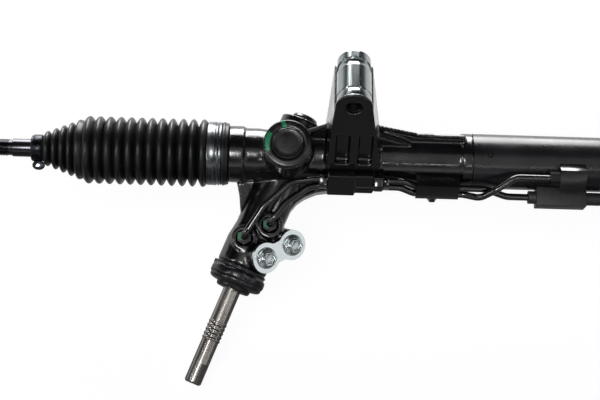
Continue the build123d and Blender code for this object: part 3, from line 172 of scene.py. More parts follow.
def studio():
    """Pale room: bright near the horizon, dark overhead, so that gloss shows both."""
    world = bpy.data.worlds.new("studio")
    world.use_nodes = True
    tree = world.node_tree
    background = tree.nodes["Background"]
    direction = add(tree, "TexCoord").outputs["Generated"]
    upward = add(tree, "SeparateXYZ", {"Vector": direction}).outputs["Z"]
    ramp = add(tree, "ValToRGB", {"Fac": upward})
    stops = ramp.color_ramp.elements
    for stop, (height, colour) in zip(stops, (HORIZON, OVERHEAD)):
        stop.position = height
        stop.color = sRGB(colour)
    for height, colour in SKY_BETWEEN:
        stop = stops.new(height)
        stop.color = sRGB(colour)
    rays = add(tree, "LightPath").outputs["Is Camera Ray"]
    colours = {"Color1": ramp.outputs["Color"], "Color2": (1, 1, 1, 1)}
    seen = add(tree, "MixRGB", {"Fac": rays, **colours})
    tree.links.new(seen.outputs["Color"], background.inputs["Color"])
    bpy.context.scene.world = world


def lay_floor():
    """Board that shows white, dimmer in gloss toward the front, and keeps a soft shadow."""
    mesh = bmesh.new()
    bmesh.ops.create_grid(mesh, x_segments=1, y_segments=1, size=BOARD_SIZE)
    bmesh.ops.translate(mesh, vec=(0, 0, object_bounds()[0].z - BOARD_DROP), verts=mesh.verts)
    material = bpy.data.materials.new("matt_table_board")
    material.use_nodes = True
    tree = material.node_tree
    shader = tree.nodes["Principled BSDF"]
    at = add(tree, "TexCoord").outputs["Object"]
    speck = {"Vector": at, "Scale": BOARD_GRAIN, "Detail": 3.0}
    grain = add(tree, "TexNoise", speck).outputs["Fac"]
    greys = {"Color1": sRGB("#7c7c7c"), "Color2": sRGB("#808080")}
    tone = add(tree, "MixRGB", {"Fac": grain, **greys})
    tree.links.new(tone.outputs["Color"], shader.inputs["Base Color"])
    shader.inputs["Roughness"].default_value = BOARD_ROUGH
    path = add(tree, "LightPath").outputs
    depth = add(tree, "SeparateXYZ", {"Vector": at}).outputs["Y"]
    reach = {"From Min": GLOSS_FADE[0], "From Max": GLOSS_FADE[1], "To Min": GLOSS_LEAST}
    behind = add(tree, "MapRange", {"Value": depth, **reach}).outputs["Result"]
    rays = {0: path["Is Glossy Ray"], 1: path["Is Transmission Ray"]}
    gloss = add(tree, "Math", rays, operation="MAXIMUM").outputs[0]
    gloss = add(tree, "Math", {0: gloss, 1: behind}, operation="MULTIPLY").outputs[0]
    rays = {0: path["Is Camera Ray"], 1: gloss}
    shown = add(tree, "Math", rays, operation="MAXIMUM").outputs[0]
    lift = add(tree, "Math", {0: shown, 1: BOARD_LIGHT}, operation="MULTIPLY").outputs[0]
    shader.inputs["Emission Color"].default_value = (1, 1, 1, 1)
    tree.links.new(lift, shader.inputs["Emission Strength"])
    finished("floor", mesh, Matrix.Identity(4), material)


# ---------------------------------------------------------------- making pieces
def finished(name, mesh, where, material, sharp=FACET):
    """Object at the origin whose mesh carries the place, smooth but for its sharp edges."""
    bmesh.ops.transform(mesh, matrix=where, verts=mesh.verts)
    data = bpy.data.meshes.new(name)
    mesh.to_mesh(data)
    mesh.free()
    data.shade_smooth()
    data.set_sharp_from_angle(angle=math.radians(sharp))
    data.materials.append(material)
    piece = bpy.data.objects.new(name, data)
    bpy.context.collection.objects.link(piece)
    return piece


def stands_for(piece, body, slot, *nodes):
    """Gives a piece its body, its slot and the nodes it replaces."""
    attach(piece, body)
    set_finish(piece, slot)
    if nodes:
        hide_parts(*nodes)
    return piece


def bevel(mesh, geom, width, segments, affect="EDGES"):
    bmesh.ops.bevel(
        mesh, geom=geom, offset=width, offset_type="OFFSET", segments=segments, profile=0.5,
        affect=affect, clamp_overlap=True, material=-1
    )


def ease_edges(mesh, width):
    """Bevels the crisp edges."""
    limit = math.radians(CRISP)
    sharp = [e for e in mesh.edges if e.is_manifold and e.calc_face_angle(0) > limit]
    bevel(mesh, sharp, width, 2)


def lathe(profile, steps=96, ease=0.0):
    """Bmesh turned about Z from (radius, station) points, its sharp rims eased."""
    mesh = bmesh.new()
    points = [mesh.verts.new((radius, 0, station)) for radius, station in profile]
    pairs = list(zip(points, points[1:]))
    if profile[0][0] > ON_AXIS:
        pairs.append((points[-1], points[0]))
    edges = [mesh.edges.new(pair) for pair in pairs]
    bmesh.ops.spin(
        mesh, geom=points + edges, cent=(0, 0, 0), axis=(0, 0, 1), angle=math.tau, steps=steps,
        use_merge=True
    )
    bmesh.ops.remove_doubles(mesh, verts=mesh.verts, dist=SEAM_GAP)
    bmesh.ops.recalc_face_normals(mesh, faces=mesh.faces)
    if ease:
        ease_edges(mesh, ease)
    return mesh


def of_kind(geom, kind):
    return [part for part in geom if isinstance(part, kind)]


def hexagon(radius, low, high, ease, dish=()):
    """Bmesh of a hexagonal head along Z with broken edges, its end sunk by the dish's insets."""
    mesh = bmesh.new()
    bmesh.ops.create_circle(mesh, cap_ends=True, radius=radius, segments=6)
    top = bmesh.ops.extrude_face_region(mesh, geom=mesh.faces[:])["geom"]
    bmesh.ops.translate(mesh, vec=(0, 0, high - low), verts=of_kind(top, bmesh.types.BMVert))
    bmesh.ops.translate(mesh, vec=(0, 0, low), verts=mesh.verts)
    lid = of_kind(top, bmesh.types.BMFace)
    for thickness, depth in dish:
        bmesh.ops.inset_region(mesh, faces=lid, thickness=thickness, depth=depth)
    bmesh.ops.recalc_face_normals(mesh, faces=mesh.faces)
    ease_edges(mesh, ease)
    return mesh


def rounded_block(mesh, size, centre, width):
    """Adds a block with its edges rounded to the mesh."""
    corners = bmesh.ops.create_cube(mesh, size=1.0)["verts"]
    bmesh.ops.scale(mesh, vec=size, verts=corners)
    bmesh.ops.translate(mesh, vec=centre, verts=corners)
    edges = {edge for corner in corners for edge in corner.link_edges}
    bevel(mesh, list(edges), width, 3)


def merge(mesh, other, where):
    """Moves another bmesh's faces to their place in the mesh."""
    bmesh.ops.transform(other, matrix=where, verts=other.verts)
    carrier = bpy.data.meshes.new("carrier")
    other.to_mesh(carrier)
    other.free()
    mesh.from_mesh(carrier)
    bpy.data.meshes.remove(carrier)


def mirrored(piece, name, body=None, *nodes):
    """The same piece at the right end."""
    mesh = bmesh.new()
    mesh.from_mesh(piece.data)
    flip = Matrix.Translation((2 * MIRROR_X, 0, 0)) @ Matrix.Scale(-1, 4, (1, 0, 0))
    bmesh.ops.transform(mesh, matrix=flip, verts=mesh.verts)
    bmesh.ops.reverse_faces(mesh, faces=mesh.faces)
    twin = finished(name, mesh, Matrix.Identity(4), piece.data.materials[0])
    if body:
        stands_for(twin, body, piece["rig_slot"], *nodes)
    return twin


def node_mesh(node):
    """Bmesh of a CAD node's shape, with its faces joined."""
    mesh = bmesh.new()
    mesh.from_mesh(frame["nodes"][node].data)
    bmesh.ops.remove_doubles(mesh, verts=mesh.verts, dist=MERGE_GAP)
    return mesh


def cast_skin(name, node, material, voxel=1.0, rounds=4, kept=1.0):
    """A casting's solid with its edges and corners rounded as sand and paint leave them."""
    piece = finished(name, node_mesh(node), Matrix.Identity(4), material)
    skin = piece.modifiers.new("skin", "REMESH")
    skin.mode = "VOXEL"
    skin.voxel_size = voxel * MM
    rounding = piece.modifiers.new("rounding", "SMOOTH")
    rounding.factor = 0.5
    rounding.iterations = rounds
    if kept < 1:
        piece.modifiers.new("thinning", "DECIMATE").ratio = kept
    shape = piece.evaluated_get(bpy.context.evaluated_depsgraph_get())
    data = bpy.data.meshes.new_from_object(shape)
    piece.modifiers.clear()
    piece.data = data
    data.shade_smooth()
    return piece


def eased_copy(name, node, material, width):
    """A machined or pressed node with its edges broken."""
    mesh = node_mesh(node)
    flat = math.radians(1.0)
    bmesh.ops.dissolve_limit(mesh, angle_limit=flat, verts=mesh.verts, edges=mesh.edges)
    ease_edges(mesh, width * MM)
    return finished(name, mesh, Matrix.Identity(4), material)


# ---------------------------------------------------------------- finishes
TONE_REACH = (0.32, 0.68)   # the noise between these runs from one colour to the other
SHEEN_REACH = (0.3, 0.7)    # and between these from one roughness to the other


def surface(name, colours, patch, rough, grain, depth, metallic=0.0, where=None, stretch=(1, 1, 1)):
    """Base of a finish: patches of two colours and two roughnesses, and a fine grain.

    The patches, the grain and its depth are in mm; a place and a stretch lay the pattern along it.
    """
    material = bpy.data.materials.new(name)
    material.use_nodes = True
    tree = material.node_tree
    shader = tree.nodes["Principled BSDF"]
    at = add(tree, "TexCoord").outputs["Object"]
    if where:
        spot, turn, _ = where.decompose()
        laid = {"Vector": at, "Location": spot, "Rotation": turn.to_euler(), "Scale": stretch}
        at = add(tree, "Mapping", laid, vector_type="TEXTURE").outputs["Vector"]
    cloud = {"Vector": at, "Scale": 1 / (patch * MM), "Detail": 5.0, "Roughness": 0.6}
    patches = add(tree, "TexNoise", cloud).outputs["Fac"]
    reach = {"Value": patches, "From Min": TONE_REACH[0], "From Max": TONE_REACH[1]}
    spread = add(tree, "MapRange", reach).outputs["Result"]
    first, second = (sRGB(colour) for colour in colours)
    tone = add(tree, "MixRGB", {"Fac": spread, "Color1": first, "Color2": second})
    tree.links.new(tone.outputs["Color"], shader.inputs["Base Color"])
    reach = {"Value": patches, "From Min": SHEEN_REACH[0], "From Max": SHEEN_REACH[1]}
    sheen = add(tree, "MapRange", {**reach, "To Min": rough[0], "To Max": rough[1]})
    tree.links.new(sheen.outputs["Result"], shader.inputs["Roughness"])
    speck = {"Vector": at, "Scale": 1 / (grain * MM), "Detail": 3.0, "Roughness": 0.55}
    fine = add(tree, "TexNoise", speck).outputs["Fac"]
    relief = add(tree, "Bump", {"Height": fine, "Strength": 1.0, "Distance": depth * MM})
    tree.links.new(relief.outputs["Normal"], shader.inputs["Normal"])
    shader.inputs["Metallic"].default_value = metallic
    return material


def set_specular(material, level):
    """Strength of a painted or rubber surface's mirror share; 0.5 is the usual one."""
    shader = material.node_tree.nodes["Principled BSDF"]
    shader.inputs["Specular IOR Level"].default_value = level


DAB_BRISTLE = 700.0     # scale of the noise at a dab's edge, per metre
DAB_RAGGED = 2.4        # how far the noise moves the edge, in radii
DAB_SHRINK = -0.3       # how far the edge is drawn in, in radii
DAB_HARDNESS = 2500.0   # steepness of the edge, per metre


def paint_mark(material, spots, colour):
    """Brushed dabs of marking paint: each spot is a centre in metres and a radius in mm."""
    tree = material.node_tree
    shader = tree.nodes["Principled BSDF"]
    at = add(tree, "TexCoord").outputs["Object"]
    bristle = {"Vector": at, "Scale": DAB_BRISTLE, "Detail": 5.0, "Roughness": 0.7}
    ragged = add(tree, "TexNoise", bristle).outputs["Fac"]
    covered = None
    for centre, radius in spots:
        far = add(tree, "VectorMath", {0: at, 1: centre}, operation="DISTANCE").outputs["Value"]
        reach = {0: ragged, 1: radius * MM * DAB_RAGGED, 2: radius * MM * DAB_SHRINK}
        edge = add(tree, "Math", reach, operation="MULTIPLY_ADD").outputs[0]
        inside = add(tree, "Math", {0: edge, 1: far}, operation="SUBTRACT").outputs[0]
        hard = {0: inside, 1: DAB_HARDNESS}
        dab = add(tree, "Math", hard, operation="MULTIPLY", use_clamp=True).outputs[0]
        if covered is not None:
            dab = add(tree, "Math", {0: covered, 1: dab}, operation="MAXIMUM").outputs[0]
        covered = dab
    base = shader.inputs["Base Color"].links[0].from_socket
    mixed = add(tree, "MixRGB", {"Fac": covered, "Color1": base, "Color2": sRGB(colour)})
    tree.links.new(mixed.outputs["Color"], shader.inputs["Base Color"])
    bare = shader.inputs["Metallic"].default_value
    if bare > 0:
        metal = add(tree, "Math", {0: 1.0, 1: covered}, operation="SUBTRACT").outputs[0]
        metal = add(tree, "Math", {0: metal, 1: bare}, operation="MULTIPLY").outputs[0]
        tree.links.new(metal, shader.inputs["Metallic"])


# Gloss black enamel sprayed over sand-cast aluminium: nearly black, wet highlights broken by the
# cast grain and a slight orange peel.
CAST_ENAMEL = surface(
    "gloss_black_enamel_on_sand_casting", ("#08080a", "#131316"), 22.0, (0.12, 0.24), 2.6, 0.09
)
set_specular(CAST_ENAMEL, 0.75)
# Satin black enamel on a drawn steel tube: broad soft gradients along it.
TUBE_ENAMEL = surface(
    "satin_black_enamel_on_drawn_tube", ("#121216", "#201d22"), 40.0, (0.24, 0.34), 3.5, 0.02
)
# Gloss black enamel on the bent lines: a thin bright streak along each.
LINE_ENAMEL = surface(
    "gloss_black_enamel_on_steel_line", ("#09090b", "#141417"), 14.0, (0.1, 0.2), 2.0, 0.03
)
set_specular(LINE_ENAMEL, 0.95)
# Black enamel on the turned yoke cap and its nut: a softer gloss with faint turning marks.
YOKE_ENAMEL = surface(
    "gloss_black_enamel_on_turned_cap", ("#0b0a0c", "#1a171a"), 12.0, (0.2, 0.34), 1.6, 0.03
)
# Zinc-plated turned sleeve: mirror bright with fine turning marks round it.
SLEEVE_STEEL = surface(
    "bright_zinc_on_turned_steel", ("#8b9293", "#a3a9a9"), 9.0, (0.10, 0.22), 0.5, 0.004, 1.0,
    place((0, 0, 0), (1, 0, 0), (0, 1, 0)), (1, 1, 40)
)
# Zinc on pressed sheet: pale, almost white where it faces a lamp.
ZINC_SHEET = surface(
    "bright_zinc_on_pressed_steel", ("#bfc8c9", "#e2e8e8"), 7.0, (0.18, 0.3), 0.8, 0.006, 1.0
)
# Zinc on forged bolts: the same plating, a little greyer.
ZINC_BOLT = surface(
    "bright_zinc_on_forged_bolt", ("#a3abac", "#d3dada"), 5.0, (0.18, 0.3), 0.9, 0.005, 1.0
)
# Bare alloy steel, ground along its length and left to tarnish brown-grey.
SHAFT_STEEL = surface(
    "ground_shaft_steel_with_tarnish", ("#86827e", "#b0aca7"), 4.0, (0.2, 0.36), 0.45, 0.006, 1.0,
    PINION, (1, 1, 14)
)
# Black oxide on forged and rolled rods: dark metal with long satin streaks.
ROD_STEEL = surface(
    "black_oxide_on_forged_steel", ("#38383c", "#4c4c50"), 9.0, (0.14, 0.24), 0.9, 0.012, 0.9,
    RACK, (1, 1, 6)
)
# Hardened and ground rack bar and its neighbours: clean grey steel, hidden at rest.
GROUND_STEEL = surface(
    "hardened_and_ground_steel", ("#8f9295", "#b4b7b9"), 8.0, (0.14, 0.26), 0.4, 0.003, 1.0,
    RACK, (1, 1, 10)
)
# EPDM bellows: matt black with a faint grey bloom on the folds.
BOOT_RUBBER = surface(
    "moulded_epdm_rubber", ("#0f0f11", "#1c1c1f"), 11.0, (0.3, 0.42), 0.9, 0.015
)
set_specular(BOOT_RUBBER, 0.36)
# Nitrile dust cap: smoother and a little glossier than the boots.
CAP_RUBBER = surface(
    "moulded_nitrile_rubber", ("#151418", "#232026"), 8.0, (0.2, 0.3), 0.8, 0.012
)
# Seals inside the gear: brown-black and dull.
SEAL_RUBBER = surface(
    "pressed_fluorocarbon_rubber", ("#1c1512", "#2a201b"), 6.0, (0.4, 0.55), 0.6, 0.01
)
# Isolator block on the second line: dull dark grey.
ISOLATOR_RUBBER = surface(
    "moulded_isolator_rubber", ("#1d1e20", "#323335"), 5.0, (0.5, 0.62), 0.9, 0.04
)
# Stainless strip round the boot cuffs, brushed along its length: mid grey with bright beads.
CLAMP_STEEL = surface(
    "rolled_stainless_strip", ("#515456", "#7e8183"), 4.0, (0.2, 0.34), 0.5, 0.008, 1.0,
    RACK, (12, 12, 1)
)
# Spring steel blued nearly black: a dark gloss with small bright glints.
SPRING_STEEL = surface(
    "blued_spring_steel_strip", ("#19191c", "#33353a"), 4.0, (0.2, 0.34), 0.5, 0.008, 1.0
)
# Phosphated nuts: soft black. The same black is painted shade in the sleeve bores, lining them where
# the bore is only in shade.
NUT_BLACK_AND_BORE_SHADE = surface(
    "black_phosphate_on_steel_nut", ("#121214", "#232326"), 4.0, (0.22, 0.38), 0.8, 0.02, 0.3
)
# Porous rack bush: warm yellow-brown.
BRONZE = surface("sintered_bronze", ("#8a6432", "#b58a4c"), 3.0, (0.34, 0.5), 0.4, 0.01, 1.0)
# Seat and liner plastic: off-white and waxy.
POLYMER = surface("acetal_polymer", ("#c9c6b8", "#dedccf"), 6.0, (0.4, 0.5), 0.7, 0.006)
BY_SLOT = {
    "painted_casting": CAST_ENAMEL, "painted_tube": TUBE_ENAMEL, "bright_steel": SLEEVE_STEEL,
    "ground_steel": GROUND_STEEL, "shaft_steel": SHAFT_STEEL, "zinc_plate": ZINC_SHEET,
    "rod_steel": ROD_STEEL, "boot_rubber": BOOT_RUBBER, "seal_rubber": SEAL_RUBBER,
    "clamp_steel": CLAMP_STEEL, "line_steel": LINE_ENAMEL, "bronze": BRONZE, "polymer": POLYMER,
    "isolator_rubber": ISOLATOR_RUBBER,
}

# Green witness marks across the line nuts and round the yoke's nut.
NUT_DABS = ((-9.8, 28.0, 88.4, 4.2), (8.0, 28.0, 69.0, 4.0))
YOKE_FACE = 55.0
ROUND_DABS = [(angle, 18.6, 2.7) for angle in (156, 164, 172, 180, 188, 196)]
ACROSS_DABS = [(103, radius, 2.4) for radius in (15.0, 17.5, 20.0)]


def yoke_point(degrees, radius):
    turn = math.radians(degrees)
    return YOKE @ Vector((radius * math.cos(turn), radius * math.sin(turn), YOKE_FACE))


nut_spots = [(PINION @ Vector(spot), radius) for *spot, radius in NUT_DABS]
yoke_spots = [(yoke_point(angle, out), radius) for angle, out, radius in ROUND_DABS + ACROSS_DABS]
paint_mark(NUT_BLACK_AND_BORE_SHADE, nut_spots, "#0d8a52")
paint_mark(YOKE_ENAMEL, yoke_spots, "#20a36c")


def dress_nodes():
    """Every solid takes the finish of its slot."""
    for row in frame["record"]["subparts"]:
        data = frame["nodes"][row["node"]].data
        data.materials.clear()
        data.materials.append(BY_SLOT[row["material_slot"]])
    for node, material in (("dust_cap", CAP_RUBBER), ("line_nuts", NUT_BLACK_AND_BORE_SHADE)):
        frame["nodes"][node].data.materials[0] = material


# ---------------------------------------------------------------- bellows boots
# Crests and the boot's ends as (radius, station).
LARGE_CRESTS = [(31.6, -185.22 + 9.67 * index) for index in range(12)]
SMALL_CRESTS = [(16.5 + 2.85 * index, -224.2 + 7.42 * index) for index in range(5)]
SMALL_HALF, LARGE_HALF = 3.71, 4.83      # from a crest to the groove before it
SMALL_DEPTH, LARGE_DEPTH = 4.0, 5.0      # of a groove below its crest
DEEPER = 0.25                            # each large groove than the one before it
BOOT_NECK = [(11.75, -238.8), (12.1, -238.3), (12.1, -237.2), (11.75, -236.9), (11.75, -229.4)]
BOOT_CUFF = [
    (28.6, -74.6), (28.6, -61.2), (29.6, -60.6), (29.6, -58.6), (28.8, -58.0), (28.8, -56.4),
    (28.2, -55.2),
]
FIRST_GROOVE = 11.9
LAST_GROOVE = (26.0, -73.6, False)
CUFF_START = -74.0
CUFF_BORE, NECK_BORE = 24.7, 8.8
BOOT_WALL = 1.7
BOOT_ROUND = 112
FOLD_STEPS = 6
FOLD_POWER = 0.9
NEAR_PART = 0.01
# Where the folds are split, where the boot starts and ends, and the outer ends of the spans given
# with its parts.
BOOT_SPLITS = (-170.71, -190.05)
BOOT_SPAN = (-241.0, -50.0)
BEND_SPAN = (-229.0, -75.0)


def boot_turns():
    """Grooves and crests from the neck to the cuff as (radius, station, is a crest)."""
    turns = []
    groove = FIRST_GROOVE
    for radius, station in SMALL_CRESTS:
        turns += [(groove, station - SMALL_HALF, False), (radius, station, True)]
        groove = radius - SMALL_DEPTH
    for index, (radius, station) in enumerate(LARGE_CRESTS):
        groove = radius - LARGE_DEPTH - DEEPER * index
        turns += [(groove, station - LARGE_HALF, False), (radius, station, True)]
    return turns + [LAST_GROOVE]


def boot_outline():
    """Outside of the bellows: broad round crests and narrow grooves."""
    points = list(BOOT_NECK)
    turns = boot_turns()
    for (r1, x1, crest), (r2, x2, _) in zip(turns, turns[1:]):
        for step in range(FOLD_STEPS):
            turn = math.pi / 2 * step / FOLD_STEPS
            rise = 1 - math.cos(turn) ** FOLD_POWER if crest else math.sin(turn) ** FOLD_POWER
            points.append((r1 + (r2 - r1) * rise, x1 + (x2 - x1) * step / FOLD_STEPS))
    return points + BOOT_CUFF


def boot_part(name, start, end):
    """Wall of the boot between two grooves."""
    low, high = start - NEAR_PART, end + NEAR_PART
    outside = [(r, x) for r, x in boot_outline() if low <= x <= high]
    inside = []
    for radius, station in outside:
        bore = CUFF_BORE if station > CUFF_START else max(radius - BOOT_WALL, NECK_BORE)
        inside.append((bore, station))
    return finished(name, lathe(outside + inside[::-1], BOOT_ROUND), RACK, BOOT_RUBBER, SOFT)


def boot_parts():
    """Bellows in three parts, each given with the bodies at its two ends and its span along the
    rack.
    """
    inner, outer = BOOT_SPLITS
    start, end = BOOT_SPAN
    last, first = BEND_SPAN
    rack_folds = boot_part("left_boot_rack_folds", inner, end)
    joint_folds = boot_part("left_boot_joint_folds", outer, inner)
    rod_folds = boot_part("left_boot_rod_folds", start, outer)
    return (
        (rack_folds, "housing", "rack", first, inner),
        (joint_folds, "rack", "left_seat", inner, outer),
        (rod_folds, "left_seat", "left_clamp", outer, last),
    )


def make_boots():
    for part, inner, outer, start, end in boot_parts():
        twin = mirrored(part, part.name.replace("left", "right"))
        for piece, side in ((part, "left"), (twin, "right")):
            ends = [Vector(((x + MEET[0]) * MM, 0, MEET[2] * MM)) for x in (start, end)]
            if side == "right":
                ends = [Vector((2 * MIRROR_X - p.x, p.y, p.z)) for p in ends]
            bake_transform(piece)
            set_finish(piece, "boot_rubber")
    for side in ("left", "right"):
        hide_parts(side + "_boot")


BAND_EAR = ((4.2, 4.0, 8.0), (0, -30.4, -69.6), 1.0)    # size, centre and rounding


def make_bands():
    """Steel strip clamp on each boot's cuff, with its rolled beads and crimped ear."""
    profile = [
        (28.62, -74.4), (29.5, -74.4), (29.75, -73.9), (29.5, -73.0), (29.5, -68.0), (29.75, -67.2),
        (29.4, -66.4), (28.9, -66.1), (28.9, -65.3), (29.5, -64.9), (29.8, -64.3), (29.5, -63.7),
        (28.9, -63.3), (28.9, -62.7), (29.3, -62.4), (29.3, -61.9), (28.62, -61.9),
    ]
    mesh = lathe(profile, BOOT_ROUND)
    rounded_block(mesh, *BAND_EAR)
    left = finished("left_boot_band_strip", mesh, RACK, CLAMP_STEEL)
    stands_for(left, "housing", "clamp_steel", "left_boot_band")
    mirrored(left, "right_boot_band_strip", "housing", "right_boot_band")


EARS_TURN = -142.0              # round the neck, degrees
EARS_STATION = -232.6
EAR_OUT, SCREW_OUT = 15.7, 16.1
EAR_SIDES = (-3.1, 1.7)
EAR_WIDER = 1.22


def make_rod_clamps():
    """Spring strip round each boot's neck, its two ears drawn together by a screw."""
    mesh = lathe([(11.78, -236.7), (12.9, -236.7), (12.9, -229.2), (11.78, -229.2)], 72, 0.3)
    turn, lying = turned(EARS_TURN, "Z"), turned(-90.0, "X")
    for side in EAR_SIDES:
        ear = lathe([(0.0, 0.0), (4.5, 0.0), (4.5, 1.4), (0.0, 1.4)], 40, 0.4)
        seat = Matrix.Translation((EAR_OUT, side, EARS_STATION)) @ lying
        merge(mesh, ear, turn @ seat @ Matrix.Scale(EAR_WIDER, 4, (0, 1, 0)))
    band = finished("left_rod_clamp_strip", mesh, RACK, SPRING_STEEL)
    screw = [
        (0.0, 4.9), (1.2, 4.9), (1.4, 5.7), (2.6, 5.8), (3.2, 5.4), (3.4, 4.6), (3.4, 3.2),
        (1.4, 3.2), (1.4, -4.4), (0.0, -4.4),
    ]
    where = turn @ Matrix.Translation((SCREW_OUT, 0, EARS_STATION)) @ lying
    head = finished("left_rod_clamp_screw", lathe(screw, 32), RACK @ where, ZINC_BOLT)
    stands_for(band, "left_clamp", "clamp_steel", "left_rod_clamp")
    stands_for(head, "left_clamp", "clamp_steel")
    mirrored(band, "right_rod_clamp_strip", "right_clamp", "right_rod_clamp")
    mirrored(head, "right_rod_clamp_screw", "right_clamp")


# ---------------------------------------------------------------- tie rods
BALL_X = -168.5
BALL_R = 12.5
BALL_ARC = [math.radians(4 * step) for step in range(38)]
ROD_OUTLINE = [
    (6.5, -181.0), (6.5, -188.5), (8.4, -192.5), (8.4, -256.6), (8.0, -257.0), (7.4, -257.0),
    (7.4, -259.5), (7.15, -259.7), (7.15, -358.6), (6.5, -360.0), (0.0, -360.0),
]
THREAD_PITCH = 1.5
THREAD_TURNS = 65
THREAD_STEPS = 24
THREAD_RIDGE = ((7.05, 0, -259.9), (7.95, 0, -260.55), (7.95, 0, -260.75), (7.05, 0, -261.4))


def make_tie_rods():
    """Forged rod with its ball, neck, run-out groove and rolled thread."""
    ball = [(BALL_R * math.sin(turn), BALL_X + BALL_R * math.cos(turn)) for turn in BALL_ARC]
    mesh = lathe(ball + ROD_OUTLINE, 64)
    ridge = [mesh.verts.new(point) for point in THREAD_RIDGE]
    edges = [mesh.edges.new(pair) for pair in zip(ridge, ridge[1:])]
    bmesh.ops.spin(
        mesh, geom=ridge + edges, cent=(0, 0, 0), axis=(0, 0, 1),
        dvec=(0, 0, -THREAD_PITCH / THREAD_STEPS), angle=math.tau * THREAD_TURNS,
        steps=THREAD_TURNS * THREAD_STEPS
    )
    left = finished("left_tie_rod_forging", mesh, RACK, ROD_STEEL, 40.0)
    stands_for(left, "left_rod", "rod_steel", "left_tie_rod")
    mirrored(left, "right_tie_rod_forging", "right_rod", "right_tie_rod")


# ---------------------------------------------------------------- castings, fittings and caps
SKIN_KEPT = 0.52                # of the large casting's faces, to stay under 200,000 triangles
UNION_AXIS = (-32.4, 3.4)
UNION_EASE = 0.7
# Radius, the two ends along the rack and the turn in degrees of each union.
UNIONS = ((6.6, 29.5, 36.8, 12.0), (8.0, 80.0, 87.5, 4.0), (6.2, 88.9, 94.0, 20.0))


def make_castings():
    left = cast_skin("rack_housing_casting", "rack_housing", CAST_ENAMEL, kept=SKIN_KEPT)
    stands_for(left, "housing", "painted_casting", "rack_housing")
    right = cast_skin("right_mount_casting", "right_mount_housing", CAST_ENAMEL)
    stands_for(right, "housing", "painted_casting", "right_mount_housing")
    block = cast_skin("line_clamp_casting", "line_clamp_block", CAST_ENAMEL, 0.7, 6)
    stands_for(block, "housing", "painted_casting", "line_clamp_block")


def make_line_fittings():
    """Hexagonal unions where the lines enter and leave their clamp block."""
    mesh = bmesh.new()
    for radius, low, high, turn in UNIONS:
        where = Matrix.Translation((*UNION_AXIS, 0)) @ turned(turn, "Z")
        merge(mesh, hexagon(radius, low, high, UNION_EASE), where)
    unions = finished("line_clamp_unions", mesh, RACK, LINE_ENAMEL, CRISP)
    stands_for(unions, "housing", "line_steel")


def make_yoke_parts():
    """Flat screw cap and stepped ring nut, with dabs of marking paint."""
    cap = [
        (0.0, 55.9), (9.0, 55.8), (12.4, 55.5), (13.2, 55.9), (13.9, 56.2), (14.3, 55.9),
        (14.6, 55.2), (14.6, 39.0), (8.0, 39.0), (8.0, 42.0), (0.0, 42.0),
    ]
    dome = finished("yoke_screw_cap", lathe(cap), YOKE, YOKE_ENAMEL, SOFT)
    stands_for(dome, "housing", "painted_casting", "yoke_cap")
    nut = [
        (14.65, 50.0), (21.8, 50.0), (21.8, 53.4), (21.2, 54.3), (20.2, 54.6), (18.6, 54.6),
        (18.2, 54.9), (17.8, 55.0), (15.6, 55.0), (15.0, 54.7), (14.65, 54.2),
    ]
    ring = finished("yoke_ring_nut", lathe(nut), YOKE, YOKE_ENAMEL, SOFT)
    stands_for(ring, "housing", "painted_casting", "yoke_locknut")


def make_sleeves():
    """Bright steel sleeve in each mount, grooved near both ends, its bore lined with a black tube of
    painted shade.
    """
    profile = [
        (7.5, -25.3), (14.6, -25.3), (15.25, -24.6), (15.25, -18.1), (14.7, -17.5), (14.7, -16.4),
        (15.25, -15.7), (15.25, -15.1), (15.25, 10.3), (15.25, 10.9), (15.1, 11.4), (13.7, 12.6),
        (13.4, 13.3), (13.4, 17.4), (13.7, 18.2), (14.8, 19.1), (15.0, 19.7), (15.0, 20.2),
        (15.0, 26.3), (15.0, 26.8), (14.7, 27.4), (14.0, 27.95), (8.1, 27.95), (7.5, 27.4),
    ]
    # The lining is painted shade: a black tube inside the bore, where the bright bore is only in
    # shade.
    bore_shade_profile = [(7.1, -25.1), (7.48, -25.1), (7.48, 27.3), (7.1, 27.3)]
    for side, x in MOUNT_STATIONS:
        where = place((x, 0, 0), (1, 0, 0), (0, 1, 0))
        mesh = lathe(profile, ease=0.12)
        sleeve = finished(side + "_bright_sleeve", mesh, where, SLEEVE_STEEL, CRISP)
        stands_for(sleeve, "housing", "bright_steel", side + "_mount_sleeve")
        bore = finished(side + "_sleeve_bore_painted_shade", lathe(bore_shade_profile, 64), where, NUT_BLACK_AND_BORE_SHADE)
        stands_for(bore, "housing", "seal_rubber")


CAP_LUG = ((3.0, 4.0, 4.4), (-24.6, 0, 115.0), 0.9)    # size, centre and rounding


def make_dust_cap():
    """Stepped rubber cap round the input shaft."""
    cap = [
        (22.25, 113.0), (24.0, 113.0), (24.6, 113.5), (24.7, 114.6), (24.0, 115.1), (23.9, 116.4),
        (24.9, 117.2), (25.9, 118.2), (26.2, 119.6), (26.2, 123.4), (25.8, 124.6), (25.0, 125.2),
        (25.2, 126.0), (24.9, 127.6), (23.8, 128.9), (21.6, 129.7), (17.4, 130.2), (16.5, 130.9),
        (16.2, 133.0), (15.3, 134.3), (9.6, 134.5), (8.8, 133.8), (8.8, 132.1), (13.6, 132.1),
        (13.6, 128.0), (20.2, 125.6), (20.2, 119.3), (22.25, 119.3),
    ]
    mesh = lathe(cap)
    rounded_block(mesh, *CAP_LUG)
    piece = finished("input_dust_cap", mesh, PINION, CAP_RUBBER, SOFT)
    stands_for(piece, "housing", "seal_rubber", "dust_cap")


BEADS = (168.0, 172.0, 176.0, 180.0, 184.0)
BEAD_OUTLINE = ((-1.2, 8.2), (-0.7, 8.6), (0.0, 8.8), (0.7, 8.6), (1.2, 8.2))
BEAD_FOOT = 7.9
BEAD_HALF, BEAD_NEXT = 1.5, 2.5


